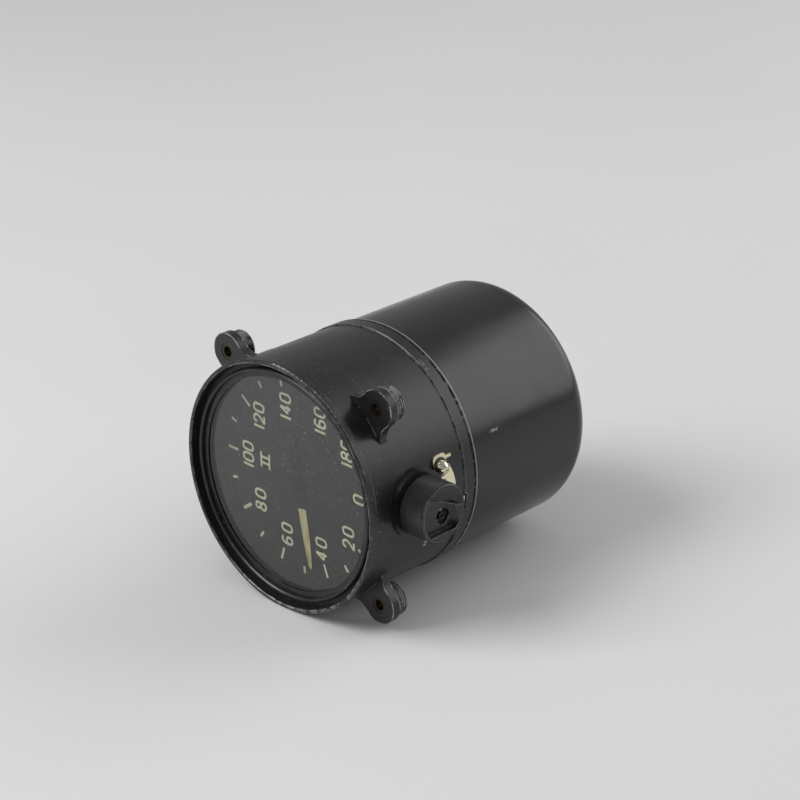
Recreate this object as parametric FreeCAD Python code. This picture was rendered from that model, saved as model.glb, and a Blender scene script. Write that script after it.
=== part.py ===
import FreeCAD, Part
import math
import os

# Fuel quantity indicator: a round panel instrument that lies on its side.
# Millimetres. The origin is on the instrument's axis, in the plane of the lugs' front faces.
# The dial faces -Y, the rear can is at +Y, the top of the dial is at -X and the knob is at +X.

# Case and front rim
case_radius = 39.4
rim_step = 0.6
rim_length = 2.4
rim_lip = 1.3
front_depth = 10.5
case_wall = 2.2
case_length = 29.2
band_length = 5.0
band_step = 0.15
edge_round = 0.5
edge_break = 0.25
ledge_width = 5.2
ledge_thickness = 2.0
spigot_reach = 1.0
spigot_taper = 2.0

# Mounting lugs and their tapped bushes
lug_count = 4
lug_first_angle = 45.0
lug_tip_radius = 6.0
lug_flare_radius = 6.0
lug_thickness = 3.0
bush_flange_radius = 5.3
bush_flange_length = 3.4
bush_clearance = 0.3
bush_neck_length = 0.4
bush_neck_radius = 4.5
bush_ridge_count = 4
bush_ridge_depth = 0.25
bush_shank_radius = 2.7
bush_bore_radius = 1.65
bush_recess = 0.15

# Window
window_lip = 3.2
glass_thickness = 2.0
gasket_thickness = 0.6
gasket_inset = 0.6
spacer_wall = 2.2
retainer_depth = 2.4
retainer_thickness = 0.9
bead_offset = 2.3
bead_width = 1.1
bead_height = 1.3
bead_chamfer = 0.35
retainer_lip = 0.35
retainer_clearance = 0.25

# Dial
dial_depth = 10.5
dial_thickness = 1.0
dial_hole_radius = 3.0
dial_screw_circle = 7.0
dial_screw_radius = 0.7
dial_screw_head_radius = 1.35
dial_screw_head = 0.45
dial_post_radius = 1.5

# Scale law, in degrees clockwise from the dial's top
scale_step = 1.87
scale_top_value = 100.0
scale_top_angle = 1.7
scale_last_value = 180.0
rest_value = 46.0

# Pointer and its staff
pointer_lift = 0.6
pointer_thickness = 0.3
pointer_margin = 4.7
pointer_corner = 0.1
pointer_tail_corner = 0.8
pointer_root_width = 3.6
pointer_shoulder = 20.5
pointer_shoulder_round = 26.0
pointer_tip_width = 0.7
pointer_tail_length = 10.8
pointer_tail_width = 3.6
hub_radius = 2.6
hub_height = 1.4
hub_chamfer = 0.6
hub_cap = 0.5
staff_radius = 0.75
pivot_radius = 0.35
end_play = 0.2
pivot_clearance = 0.05
pivot_taper = 0.5

# Movement frame
plate_thickness = 2.0
front_plate_clearance = 2.2
flat_clearance = 5.0
rear_plate_margin = 1.1
pillar_count = 3
pillar_first_angle = 60.0
pillar_gap = 4.3
pillar_radius = 2.4
pillar_length = 31.0
pillar_tap = 5.0
plate_screw_inset = 3.6
dial_screw_grip = 1.4
small_screw_radius = 1.0
small_screw_head_radius = 1.9
small_screw_head = 1.3
screw_slot_width = 0.5
screw_slot_depth = 0.5
screw_end_gap = 0.4
bearing_radius = 3.4
bearing_length = 3.6
jewel_radius = 1.5
jewel_length = 0.8
bearing_relief = 0.4

# Rotor, damping cup and stator
rotor_radius = 7.0
rotor_length = 14.0
rotor_front = 13.0
rotor_gap = 0.6
rotor_flat = 0.5
cup_hole_gap = 1.0
cup_wall = 1.2
cup_reach = 0.5
stator_gap = 0.4
stator_wall = 6.0
stator_ear_wall = 1.6
stator_length = 12.0
stator_teeth = 12
stator_slot_width = 1.1
stator_slot_depth = 1.2
coil_count = 6
coil_build = 1.6
coil_span = 30.0
coil_inset = 1.8

# Stop for the pointer
stop_circle_radius = 7.5
stop_pin_radius = 0.6
stop_arm_width = 1.2
stop_arm_thickness = 0.9
stop_arm_front = 7.6
stop_arm_overrun = 1.0
stop_collar_radius = 2.0
stop_tail_length = 4.5
stop_tail_width = 3.4
stop_pin_seat = 1.2
stop_slack = 0.4

# Hairspring
spring_inner_radius = 2.6
spring_outer_radius = 6.4
spring_turns = 4
spring_wire = 0.22
spring_height = 0.7
spring_clearance = 0.9
collet_gap = 0.3
collet_overhang = 0.2
spring_stud_radius = 0.7
spring_steps = 16

# Adjusting knob on the side and the resistor that it turns
knob_station = 9.0
knob_side = 1.4
knob_radius = 9.0
knob_length = 9.35
knob_gap = 0.35
knob_rim = 0.9
step_place = (-2.0, 3.9)
step_angle = -20.0
dish_foot = 2.6
dish_depth = 2.2
recess_depth = 1.9
recess_foot = 6.4
flank_edge = (6.5, -2.6)
flank_angle = -68.0
flank_tilt = 38.0
pocket_radius = 2.7
pocket_depth = 3.0
key_screw_angle = -55.6
key_screw_head_radius = 1.3
key_screw_head = 0.9
key_screw_radius = 0.7
key_screw_length = 3.0
boss_radius = 10.7
boss_height = 0.75
shaft_radius = 1.5
shaft_clearance = 0.05
shaft_end = 0.6
shaft_head_radius = 2.3
shaft_head_length = 4.2
bushing_radius = 3.0
collar_radius = 4.6
bushing_nut_radius = 4.0
bushing_nut_thickness = 1.0
track_radius = 5.6
track_width = 1.4
track_thickness = 1.2
board_thickness = 1.4
wiper_gap = 0.3
wiper_thickness = 0.5
wiper_width = 1.6
wiper_overrun = 0.4
wiper_hub_radius = 2.3
board_standing = 4.2
track_opening = 4.0

# Keeper plate beside the knob, its screw and the slot in the clamp ring
keeper_thickness = 0.6
keeper_screw_station = 19.5
keeper_screw_side = 9.1
keeper_ear = (5.4, 7.6)
keeper_ear_lift = -0.1
keeper_ear_corner = 2.0
keeper_prong = (2.2, 0.8)
keeper_neck_inner = 1.6
keeper_neck_width = 3.6
keeper_neck_angles = (-28.0, 30.0)
keeper_tongue_gap = 0.3
keeper_boss_gap = 0.3
keeper_tongue_spare = 0.6
keeper_screw_radius = 1.0
keeper_screw_head_radius = 2.2
slot_side = -5.5
slot_width = 5.2
slot_depth = 1.0

# Rear can, its seal and the clamp ring
clamp_step = 0.3
clamp_width = 5.7
clamp_gap = 0.08
can_step = 0.5
can_wall = 0.8
can_length = 58.0
can_corner_radius = 6.4
can_inner_leg_share = 0.72
can_dome = 1.2
seal_thickness = 1.0
spigot_wall = 1.6

# Rear socket and terminal board
socket_radius = 8.0
socket_wall = 1.0
socket_length = 8.0
socket_flange_radius = 11.0
socket_flange = 1.2
socket_seat_gap = 0.05
thread_relief = 0.4
relief_reach = 0.25
insulator_length = 4.0
contact_count = 3
contact_circle_radius = 3.6
contact_first_angle = 90.0
contact_radius = 0.9
contact_stand = 2.0
contact_tail = 5.0
board_standoff = 8.0
board_inset = 3.0
board_flat_share = 0.45
board_screw_share = 0.75
terminal_count = 3
terminal_pitch = 8.0
terminal_offset = 6.5
board_tap = 4.0
board_screw_reach = 3.5
terminal_screw_reach = 1.5
tag_height = 4.0
tag_width = 3.0
tag_thickness = 0.5
tag_eye_radius = 2.1

# Fit between pieces that share one body
seat_gap = 0.02

Y_AXIS = FreeCAD.Vector(0, 1, 0)
X_AXIS = FreeCAD.Vector(1, 0, 0)
ORIGIN = FreeCAD.Vector(0, 0, 0)

# Radii about the axis
bore_radius = case_radius - case_wall
rim_radius = case_radius + rim_step
lug_circle_radius = case_radius + bush_flange_radius + bush_clearance
window_radius = bore_radius - window_lip
bead_radius = window_radius + bead_offset
window_seat_radius = bore_radius - retainer_clearance
ledge_radius = bore_radius - ledge_width
pointer_length = window_radius - pointer_margin
clamp_radius = case_radius + clamp_step
can_radius = case_radius - can_step
spigot_radius = can_radius - can_wall - clamp_gap
front_plate_radius = bore_radius - front_plate_clearance
plate_screw_circle = bore_radius - plate_screw_inset
stator_inner_radius = rotor_radius + rotor_gap + cup_wall + stator_gap
stator_outer_radius = stator_inner_radius + stator_wall
pillar_circle_radius = stator_outer_radius + coil_build + pillar_gap + pillar_radius
rear_plate_radius = pillar_circle_radius + pillar_radius + rear_plate_margin
board_radius = rear_plate_radius - board_inset

# Stations along the axis, from the mounting plane
rim_front = -front_depth
dial_front = rim_front + dial_depth
dial_back = dial_front + dial_thickness
ledge_back = dial_back + ledge_thickness
retainer_front = rim_front + retainer_depth
retainer_back = retainer_front + retainer_thickness
glass_back = retainer_back + glass_thickness
gasket_back = glass_back + gasket_thickness
front_plate_back = ledge_back + plate_thickness
rear_plate_front = front_plate_back + pillar_length
rear_plate_back = rear_plate_front + plate_thickness
pointer_back = dial_front - pointer_lift
pointer_front = pointer_back - pointer_thickness
spring_front = front_plate_back + spring_clearance
spigot_back = case_length + clamp_width + spigot_reach
can_front = case_length + seal_thickness
can_back = can_front + can_length
socket_seat = can_back + can_dome * (1 - socket_flange_radius / can_radius) - can_wall - socket_seat_gap
barrel_start = can_back + can_dome * (1 - (socket_radius - thread_relief) / can_radius) + relief_reach
stator_front = rotor_front + (rotor_length - stator_length) / 2


def vector(x, y, z):
    return FreeCAD.Vector(x, y, z)


def rounded_wire(corners):
    """A closed wire in a plane from (point, corner) pairs: a positive corner is the radius of a
    tangent arc, a negative one is the leg of a chamfer."""
    count = len(corners)
    trimmed = []
    for index in range(count):
        point, radius = corners[index]
        before = corners[index - 1][0] - point
        after = corners[(index + 1) % count][0] - point
        before.normalize()
        after.normalize()
        if radius <= 0:
            trimmed.append((point - before * radius, None, point - after * radius))
            continue
        half_angle = before.getAngle(after) / 2
        reach = radius / math.tan(half_angle)
        bisector = before + after
        bisector.normalize()
        centre = point + bisector * (radius / math.sin(half_angle))
        trimmed.append((point + before * reach, centre - bisector * radius, point + after * reach))
    edges = []
    for index in range(count):
        start, middle, end = trimmed[index]
        if middle is not None:
            edges.append(Part.Arc(start, middle, end).toShape())
        elif start.distanceToPoint(end) > 1e-6:
            edges.append(Part.LineSegment(start, end).toShape())
        following = trimmed[(index + 1) % count][0]
        if end.distanceToPoint(following) > 1e-6:
            edges.append(Part.LineSegment(end, following).toShape())
    return Part.Wire(edges)


def turned(corners):
    """A solid turned about the instrument's axis from (radius, station, corner) rows."""
    wire = rounded_wire([(vector(row[0], row[1], 0), row[2] if len(row) > 2 else 0) for row in corners])
    return Part.Face(wire).revolve(ORIGIN, Y_AXIS, 360)


def disc(radius, front, back):
    return Part.makeCylinder(radius, back - front, vector(0, front, 0), Y_AXIS)


def tube(outer, inner, front, back):
    return disc(outer, front, back).cut(disc(inner, front - 1, back + 1))


def rod_y(radius, front, back, x, z):
    return Part.makeCylinder(radius, back - front, vector(x, front, z), Y_AXIS)


def rod_x(radius, inner, outer, y=0.0, z=0.0):
    return Part.makeCylinder(radius, outer - inner, vector(inner, y, z), X_AXIS)


def on_knob_axis(radius, inner, outer):
    return rod_x(radius, inner, outer, knob_station, knob_side)


def on_circle(radius, angle):
    """X and Z of a point at an angle from +X towards +Z."""
    turn = math.radians(angle)
    return radius * math.cos(turn), radius * math.sin(turn)


def spun(shape, angle):
    """A copy turned about the axis by an angle from +X towards +Z."""
    copy = shape.copy()
    copy.rotate(ORIGIN, Y_AXIS, -angle)
    return copy


def pattern(shape, count, first_angle=0.0):
    return [spun(shape, first_angle + index * 360.0 / count) for index in range(count)]


def scale_angle(value):
    """The angle of a scale value, clockwise from the dial's top."""
    return scale_top_angle + (value - scale_top_value) * scale_step


def dial_point(radius, clockwise):
    """X and Z of a point on the dial: its top is at -X and its right side at +Z."""
    turn = math.radians(clockwise)
    return -radius * math.cos(turn), radius * math.sin(turn)


def export(name, shape):
    solids = shape if isinstance(shape, list) else [shape]
    joined = Part.makeCompound(solids) if len(solids) > 1 else solids[0]
    joined.exportStep("parts/" + name + ".step")
    built[name] = joined


# The front case: a casting with its rim, dial ledge, lugs and rear spigot
def lug_blank():
    """One lug pointing along +X, from inside the case wall to its round tip."""
    base_radius = case_radius - case_wall * 0.15
    flare_height = lug_tip_radius + lug_flare_radius
    flare_x = math.sqrt((base_radius + lug_flare_radius) ** 2 - flare_height ** 2)
    share = base_radius / (base_radius + lug_flare_radius)
    root = vector(flare_x * share, 0, flare_height * share)
    centre = vector(flare_x, 0, flare_height)
    top = vector(flare_x, 0, lug_tip_radius)
    toward = root - centre + top - centre
    toward.normalize()
    middle = centre + toward * lug_flare_radius
    inner_x = bore_radius + case_wall * 0.1

    def mirrored(point):
        return vector(point.x, point.y, -point.z)

    tip_side = vector(lug_circle_radius, 0, lug_tip_radius)
    tip = vector(lug_circle_radius + lug_tip_radius, 0, 0)
    edges = [
        Part.LineSegment(vector(inner_x, 0, root.z), root).toShape(),
        Part.Arc(root, middle, top).toShape(),
        Part.LineSegment(top, tip_side).toShape(),
        Part.Arc(tip_side, tip, mirrored(tip_side)).toShape(),
        Part.LineSegment(mirrored(tip_side), mirrored(top)).toShape(),
        Part.Arc(mirrored(top), mirrored(middle), mirrored(root)).toShape(),
        Part.LineSegment(mirrored(root), vector(inner_x, 0, -root.z)).toShape(),
        Part.LineSegment(vector(inner_x, 0, -root.z), vector(inner_x, 0, root.z)).toShape(),
    ]
    face = Part.Face(Part.Wire(edges))
    blank = face.extrude(vector(0, lug_thickness, 0))
    hole = rod_y(bush_shank_radius + seat_gap, -1, lug_thickness + 1, lug_circle_radius, 0)
    return blank.cut(hole)


def make_case():
    shell = turned([
        (rim_radius - rim_lip, rim_front, -edge_break),
        (rim_radius, rim_front, edge_round),
        (rim_radius, rim_front + rim_length, 0),
        (case_radius, rim_front + rim_length + edge_round, 0),
        (case_radius, band_length, 0),
        (case_radius - band_step, band_length + band_step, 0),
        (case_radius - band_step, case_length, 0),
        (spigot_radius, case_length, 0),
        (spigot_radius, spigot_back, -edge_break),
        (spigot_radius - spigot_wall, spigot_back, 0),
        (spigot_radius - spigot_wall, case_length - spigot_taper, 0),
        (bore_radius, case_length - 2 * spigot_taper, 0),
        (bore_radius, ledge_back, 0),
        (ledge_radius, ledge_back, 0),
        (ledge_radius, dial_back, 0),
        (bore_radius, dial_back, 0),
        (bore_radius, retainer_back + seat_gap, 0),
        (rim_radius - rim_lip, retainer_back + seat_gap, 0),
    ])
    for lug in pattern(lug_blank(), lug_count, lug_first_angle):
        shell = shell.fuse(lug)
    for angle in frame_screw_angles:
        x, z = on_circle(plate_screw_circle, angle)
        shell = shell.cut(rod_y(small_screw_radius + seat_gap, dial_back - 1, ledge_back + 1, x, z))
    shell = shell.cut(on_knob_axis(bushing_radius + seat_gap, 0, 2 * case_radius))
    shell = shell.cut(rod_x(keeper_screw_radius + seat_gap, 0, 2 * case_radius, keeper_screw_station,
                            keeper_screw_side))
    return shell.removeSplitter()


def make_lug_bush():
    """A tapped bush: its shank fills the lug's hole and its ridged flange seats behind the lug."""
    flange_front = lug_thickness + bush_neck_length
    pitch = bush_flange_length / bush_ridge_count
    outline = [
        (bush_bore_radius, bush_recess, 0),
        (bush_shank_radius, bush_recess, 0),
        (bush_shank_radius, lug_thickness, 0),
        (bush_neck_radius, lug_thickness, 0),
        (bush_neck_radius, flange_front, 0),
    ]
    for index in range(bush_ridge_count):
        ridge = flange_front + index * pitch
        outline.append((bush_flange_radius - bush_ridge_depth, ridge, 0))
        outline.append((bush_flange_radius, ridge + pitch / 2, 0))
    outline.append((bush_flange_radius - bush_ridge_depth, flange_front + bush_flange_length, 0))
    outline.append((bush_bore_radius, flange_front + bush_flange_length, 0))
    return turned_about_lug(outline)


def turned_about_lug(corners):
    wire = rounded_wire([(vector(lug_circle_radius + row[0], row[1], 0), row[2]) for row in corners])
    return Part.Face(wire).revolve(vector(lug_circle_radius, 0, 0), Y_AXIS, 360)


# The window stack
def make_retainer():
    outer = rim_radius - rim_lip - retainer_clearance
    bead_foot = retainer_front + bead_height * 0.35
    bead_crest = bead_foot - bead_height
    return turned([
        (window_radius, retainer_back, 0),
        (window_radius, retainer_back - retainer_lip, 0),
        (bead_radius - bead_width / 2, bead_foot, 0),
        (bead_radius - bead_width / 2, bead_crest, -bead_chamfer),
        (bead_radius + bead_width / 2, bead_crest, -bead_chamfer),
        (bead_radius + bead_width / 2, bead_foot, 0),
        (outer, bead_foot, 0),
        (outer, retainer_back, 0),
    ])


def make_spacer():
    return turned([
        (window_radius + gasket_inset, gasket_back),
        (window_seat_radius, gasket_back),
        (window_seat_radius, dial_front),
        (window_seat_radius - spacer_wall, dial_front),
    ])


def make_dial():
    dial = disc(window_seat_radius, dial_front, dial_back)
    dial = dial.cut(disc(dial_hole_radius, dial_front - 1, dial_back + 1))
    for x, z in dial_screw_places:
        dial = dial.cut(rod_y(dial_screw_radius + seat_gap, dial_front - 1, dial_back + 1, x, z))
    return dial


def make_dial_screws():
    screws = []
    for x, z in dial_screw_places:
        head = rod_y(dial_screw_head_radius, dial_front - dial_screw_head, dial_front, x, z)
        shank = rod_y(dial_screw_radius, dial_front - seat_gap, ledge_back + dial_screw_grip, x, z)
        screws.append(head.fuse(shank))
    return screws


def make_dial_posts():
    posts = []
    for x, z in dial_screw_places:
        post = rod_y(dial_post_radius, dial_back, ledge_back, x, z)
        posts.append(post.cut(rod_y(dial_screw_radius + seat_gap, dial_back - 1, ledge_back + 1, x, z)))
    return posts


# The pointer and what turns with it, drawn reading the scale's top and then turned
def pointer_blade():
    half_root = pointer_root_width / 2
    half_tip = pointer_tip_width / 2
    half_tail = pointer_tail_width / 2
    corners = [
        (vector(-pointer_length, pointer_front, -half_tip), pointer_corner),
        (vector(-pointer_length, pointer_front, half_tip), pointer_corner),
        (vector(-pointer_shoulder, pointer_front, half_root), pointer_shoulder_round),
        (vector(-hub_radius, pointer_front, half_root), 0),
        (vector(hub_radius, pointer_front, half_root), 0),
        (vector(pointer_tail_length, pointer_front, half_tail), pointer_tail_corner),
        (vector(pointer_tail_length, pointer_front, -half_tail), pointer_tail_corner),
        (vector(hub_radius, pointer_front, -half_root), 0),
        (vector(-hub_radius, pointer_front, -half_root), 0),
        (vector(-pointer_shoulder, pointer_front, -half_root), pointer_shoulder_round),
    ]
    blade = Part.Face(rounded_wire(corners)).extrude(vector(0, pointer_thickness, 0))
    return blade.cut(disc(staff_radius + seat_gap, pointer_front - 1, pointer_back + 1))


def to_reading(shape, value):
    copy = shape.copy()
    copy.rotate(ORIGIN, Y_AXIS, scale_angle(value))
    return copy


def make_hub():
    hub = turned([
        (0, pointer_front - hub_height),
        (hub_radius, pointer_front - hub_height, -hub_chamfer),
        (hub_radius, pointer_front),
        (0, pointer_front),
    ])
    return hub.cut(disc(staff_radius + seat_gap, pointer_front - hub_height + hub_cap, pointer_front + 1))


def make_staff():
    """The staff runs through the front jewel and ends in a thinner pivot in the rear one."""
    front = pointer_front - hub_height + hub_cap + seat_gap
    shoulder = rear_plate_front - pivot_taper
    back = rear_plate_back + bearing_length - plate_thickness - end_play
    return turned([
        (0, front),
        (staff_radius, front),
        (staff_radius, shoulder),
        (pivot_radius, rear_plate_front),
        (pivot_radius, back),
        (0, back),
    ])


def make_spring_collet():
    outer = spring_inner_radius - spring_wire / 2 - collet_gap
    return tube(outer, staff_radius + seat_gap, spring_front - collet_overhang,
                spring_front + spring_height + collet_overhang)


def make_rotor():
    rotor = disc(rotor_radius, rotor_front, rotor_front + rotor_length)
    for side in (-1, 1):
        flat = Part.makeBox(2 * rotor_radius, rotor_length + 2, rotor_radius)
        inner = rotor_radius - rotor_flat if side > 0 else rotor_flat - 2 * rotor_radius
        flat.translate(vector(-rotor_radius, rotor_front - 1, inner))
        rotor = rotor.cut(flat)
    return rotor.cut(disc(staff_radius + seat_gap, rotor_front - 1, rotor_front + rotor_length + 1))


def make_stop_arm():
    reach = stop_circle_radius + stop_arm_overrun
    collar = disc(stop_collar_radius, stop_arm_front, stop_arm_front + stop_arm_thickness)
    arm = Part.makeBox(reach, stop_arm_thickness, stop_arm_width)
    arm.translate(vector(-reach, stop_arm_front, -stop_arm_width / 2))
    tail = Part.makeBox(stop_tail_length, stop_arm_thickness, stop_tail_width)
    tail.translate(vector(0, stop_arm_front, -stop_tail_width / 2))
    whole = collar.fuse(arm).fuse(tail)
    bore = disc(staff_radius + seat_gap, stop_arm_front - 1, stop_arm_front + stop_arm_thickness + 1)
    return whole.cut(bore).removeSplitter()


# The fixed frame of the movement
def make_front_plate():
    plate = disc(front_plate_radius, ledge_back, front_plate_back)
    flat = Part.makeBox(front_plate_radius, plate_thickness + 2, 4 * front_plate_radius)
    flat.translate(vector(front_plate_flat, ledge_back - 1, -2 * front_plate_radius))
    plate = plate.cut(flat)
    plate = plate.cut(disc(bearing_radius + seat_gap, ledge_back - 1, front_plate_back + 1))
    for angle in frame_screw_angles:
        x, z = on_circle(plate_screw_circle, angle)
        plate = plate.cut(rod_y(small_screw_radius + seat_gap, ledge_back - 1, front_plate_back + 1, x, z))
    for x, z in pillar_places:
        plate = plate.cut(rod_y(small_screw_radius + seat_gap, ledge_back - 1, front_plate_back + 1, x, z))
    for x, z in dial_screw_places:
        depth = ledge_back + dial_screw_grip + seat_gap
        plate = plate.cut(rod_y(dial_screw_radius + seat_gap, ledge_back - 1, depth, x, z))
    x, z = stop_pin_place
    return plate.cut(rod_y(stop_pin_radius + seat_gap, front_plate_back - stop_pin_seat, front_plate_back + 1, x, z))


def make_rear_plate():
    plate = disc(rear_plate_radius, rear_plate_front, rear_plate_back)
    plate = plate.cut(disc(bearing_radius + seat_gap, rear_plate_front - 1, rear_plate_back + 1))
    for x, z in pillar_places:
        plate = plate.cut(rod_y(small_screw_radius + seat_gap, rear_plate_front - 1, rear_plate_back + 1, x, z))
    return plate


def make_pillars():
    pillars = []
    for x, z in pillar_places:
        pillar = rod_y(pillar_radius, front_plate_back, rear_plate_front, x, z)
        bore = rod_y(small_screw_radius + seat_gap, front_plate_back - 1, front_plate_back + pillar_tap, x, z)
        rear_bore = rod_y(small_screw_radius + seat_gap, rear_plate_front - pillar_tap, rear_plate_front + 1, x, z)
        pillars.append(pillar.cut(bore).cut(rear_bore))
    return pillars


def screw_y(shank_front, seat, x, z, towards_rear):
    """A cheese-head screw along the axis, seated at a station with its head to the rear or the front."""
    if towards_rear:
        head = rod_y(small_screw_head_radius, seat, seat + small_screw_head, x, z)
        shank = rod_y(small_screw_radius, shank_front, seat + small_screw_head / 4, x, z)
        slot_front = seat + small_screw_head - screw_slot_depth
    else:
        head = rod_y(small_screw_head_radius, seat - small_screw_head, seat, x, z)
        shank = rod_y(small_screw_radius, seat - small_screw_head / 4, shank_front, x, z)
        slot_front = seat - small_screw_head
    slot = Part.makeBox(2 * small_screw_head_radius + 1, screw_slot_depth, screw_slot_width)
    slot.translate(vector(x - small_screw_head_radius - 0.5, slot_front, z - screw_slot_width / 2))
    return head.fuse(shank).cut(slot)


def make_frame_screws():
    screws = []
    for angle in frame_screw_angles:
        x, z = on_circle(plate_screw_circle, angle)
        screws.append(screw_y(dial_back + screw_end_gap, front_plate_back, x, z, True))
    return screws


def make_pillar_screws():
    screws = []
    for x, z in pillar_places:
        screws.append(screw_y(front_plate_back + pillar_tap - screw_end_gap, ledge_back, x, z, False))
        screws.append(screw_y(rear_plate_front - pillar_tap + screw_end_gap, rear_plate_back, x, z, True))
    return screws


def make_bearing(seat_front, facing):
    """A flanged bush with a jewel at its outer end; facing is -1 for the front plate, 1 for the rear."""
    middle = seat_front + plate_thickness / 2
    back = middle + facing * plate_thickness / 2
    far = back + facing * (bearing_length - plate_thickness)
    near = middle - facing * plate_thickness / 2
    low, high = min(near, far), max(near, far)
    bush = disc(bearing_radius, low, high)
    bush = bush.cut(disc(staff_radius + bearing_relief, low - 1, high + 1))
    jewel_low = far if facing < 0 else far - jewel_length
    return bush.cut(disc(jewel_radius + seat_gap, jewel_low - (1 if facing < 0 else 0), jewel_low + jewel_length
                         + (1 if facing > 0 else 0)))


def make_jewel(seat_front, facing):
    middle = seat_front + plate_thickness / 2
    far = middle + facing * plate_thickness / 2 + facing * (bearing_length - plate_thickness)
    low = far if facing < 0 else far - jewel_length
    pivot = staff_radius if facing < 0 else pivot_radius
    return tube(jewel_radius, pivot + pivot_clearance, low, low + jewel_length)


# Stator, damping cup and coils
def make_stator():
    """A slotted ring of laminations with ears that the frame's pillars pass through."""
    outer = stator_outer_radius
    back = stator_front + stator_length
    ring = disc(outer, stator_front, back)
    ear_radius = pillar_radius + stator_ear_wall
    for x, z in pillar_places:
        ring = ring.fuse(rod_y(ear_radius, stator_front, back, x, z))
    for index in range(pillar_count):
        arm = Part.makeBox(pillar_circle_radius - outer + 2, stator_length, 2 * ear_radius - 1)
        arm.translate(vector(outer - 2, stator_front, 0.5 - ear_radius))
        ring = ring.fuse(spun(arm, pillar_first_angle + index * 360.0 / pillar_count))
    ring = ring.cut(disc(stator_inner_radius, stator_front - 1, back + 1))
    for x, z in pillar_places:
        ring = ring.cut(rod_y(pillar_radius + seat_gap, stator_front - 1, back + 1, x, z))
    for index in range(stator_teeth):
        slot = Part.makeBox(2 * stator_slot_depth, stator_length + 2, stator_slot_width)
        slot.translate(vector(stator_inner_radius - stator_slot_depth, stator_front - 1, -stator_slot_width / 2))
        ring = ring.cut(spun(slot, (index + 0.5) * 360.0 / stator_teeth))
    return ring.removeSplitter()


def wedge_about_x(radius, span, front, length):
    """A slice of a disc, centred on +X, that spans an angle."""
    x, z = on_circle(radius, span / 2)
    edges = [
        Part.LineSegment(vector(0, front, 0), vector(x, front, -z)).toShape(),
        Part.Arc(vector(x, front, -z), vector(radius, front, 0), vector(x, front, z)).toShape(),
        Part.LineSegment(vector(x, front, z), vector(0, front, 0)).toShape(),
    ]
    return Part.Face(Part.Wire(edges)).extrude(vector(0, length, 0))


def make_coils():
    outer = stator_outer_radius
    blank = turned([
        (stator_inner_radius + coil_inset, stator_front - coil_build, -coil_build / 3),
        (outer + coil_build, stator_front - coil_build, -coil_build / 2),
        (outer + coil_build, stator_front + stator_length + coil_build, -coil_build / 2),
        (stator_inner_radius + coil_inset, stator_front + stator_length + coil_build, -coil_build / 3),
    ])
    core = tube(outer + seat_gap, stator_inner_radius - 1, stator_front - seat_gap,
                stator_front + stator_length + seat_gap)
    sleeve = blank.cut(core)
    wedge = wedge_about_x(outer + 5, coil_span, stator_front - 2 * coil_build, stator_length + 4 * coil_build)
    coils = []
    for index in range(coil_count):
        middle = (index + 0.5) * 360.0 / coil_count
        coils.append(sleeve.common(spun(wedge, middle)).Solids[0])
    return coils


def make_damping_cup():
    inner = rotor_radius + rotor_gap
    hole = pivot_radius + cup_hole_gap
    floor = rear_plate_front - cup_wall
    return turned([
        (inner + cup_wall, rotor_front - cup_reach),
        (inner + cup_wall, rear_plate_front),
        (hole, rear_plate_front),
        (hole, floor),
        (inner, floor),
        (inner, rotor_front - cup_reach),
    ])


def make_spring():
    """A flat spiral from many short straight runs, about the staff."""
    steps = spring_turns * spring_steps
    outer_points = []
    inner_points = []
    for index in range(steps + 1):
        share = index / steps
        radius = spring_inner_radius + (spring_outer_radius - spring_inner_radius) * share
        angle = 360.0 * spring_turns * share
        x, z = on_circle(radius + spring_wire / 2, angle)
        outer_points.append(vector(x, spring_front, z))
        x, z = on_circle(radius - spring_wire / 2, angle)
        inner_points.append(vector(x, spring_front, z))
    outline = outer_points + inner_points[::-1] + outer_points[:1]
    return Part.Face(Part.makePolygon(outline)).extrude(vector(0, spring_height, 0))


def make_spring_stud():
    x, z = on_circle(spring_outer_radius + spring_wire / 2 + spring_stud_radius, 0)
    return rod_y(spring_stud_radius, front_plate_back, spring_front + spring_height, x, z)


# Side knob, its shaft and the resistor inside the case wall
def sloping_block(edge, angle, tilt, reach):
    """A block that leaves a sloping wall in the knob's end: it starts at a line through a point of the
    end face and runs down from there as it goes to the line's left."""
    block = Part.makeBox(2 * knob_radius, 4 * knob_radius, reach)
    block.translate(vector(0, -2 * knob_radius, 0))
    block.rotate(ORIGIN, Y_AXIS, -tilt)
    block.rotate(ORIGIN, X_AXIS, angle)
    block.translate(vector(knob_outer, edge[0], edge[1]))
    return block


def half_end(edge, angle):
    """Half of the knob's end region: what lies to the left of a line through a point of it."""
    block = Part.makeBox(4 * knob_radius, 6 * knob_radius, 4 * knob_radius)
    block.translate(vector(-2 * knob_radius, -3 * knob_radius, 0))
    block.rotate(ORIGIN, X_AXIS, angle)
    block.translate(vector(knob_outer, edge[0], edge[1]))
    return block


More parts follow.
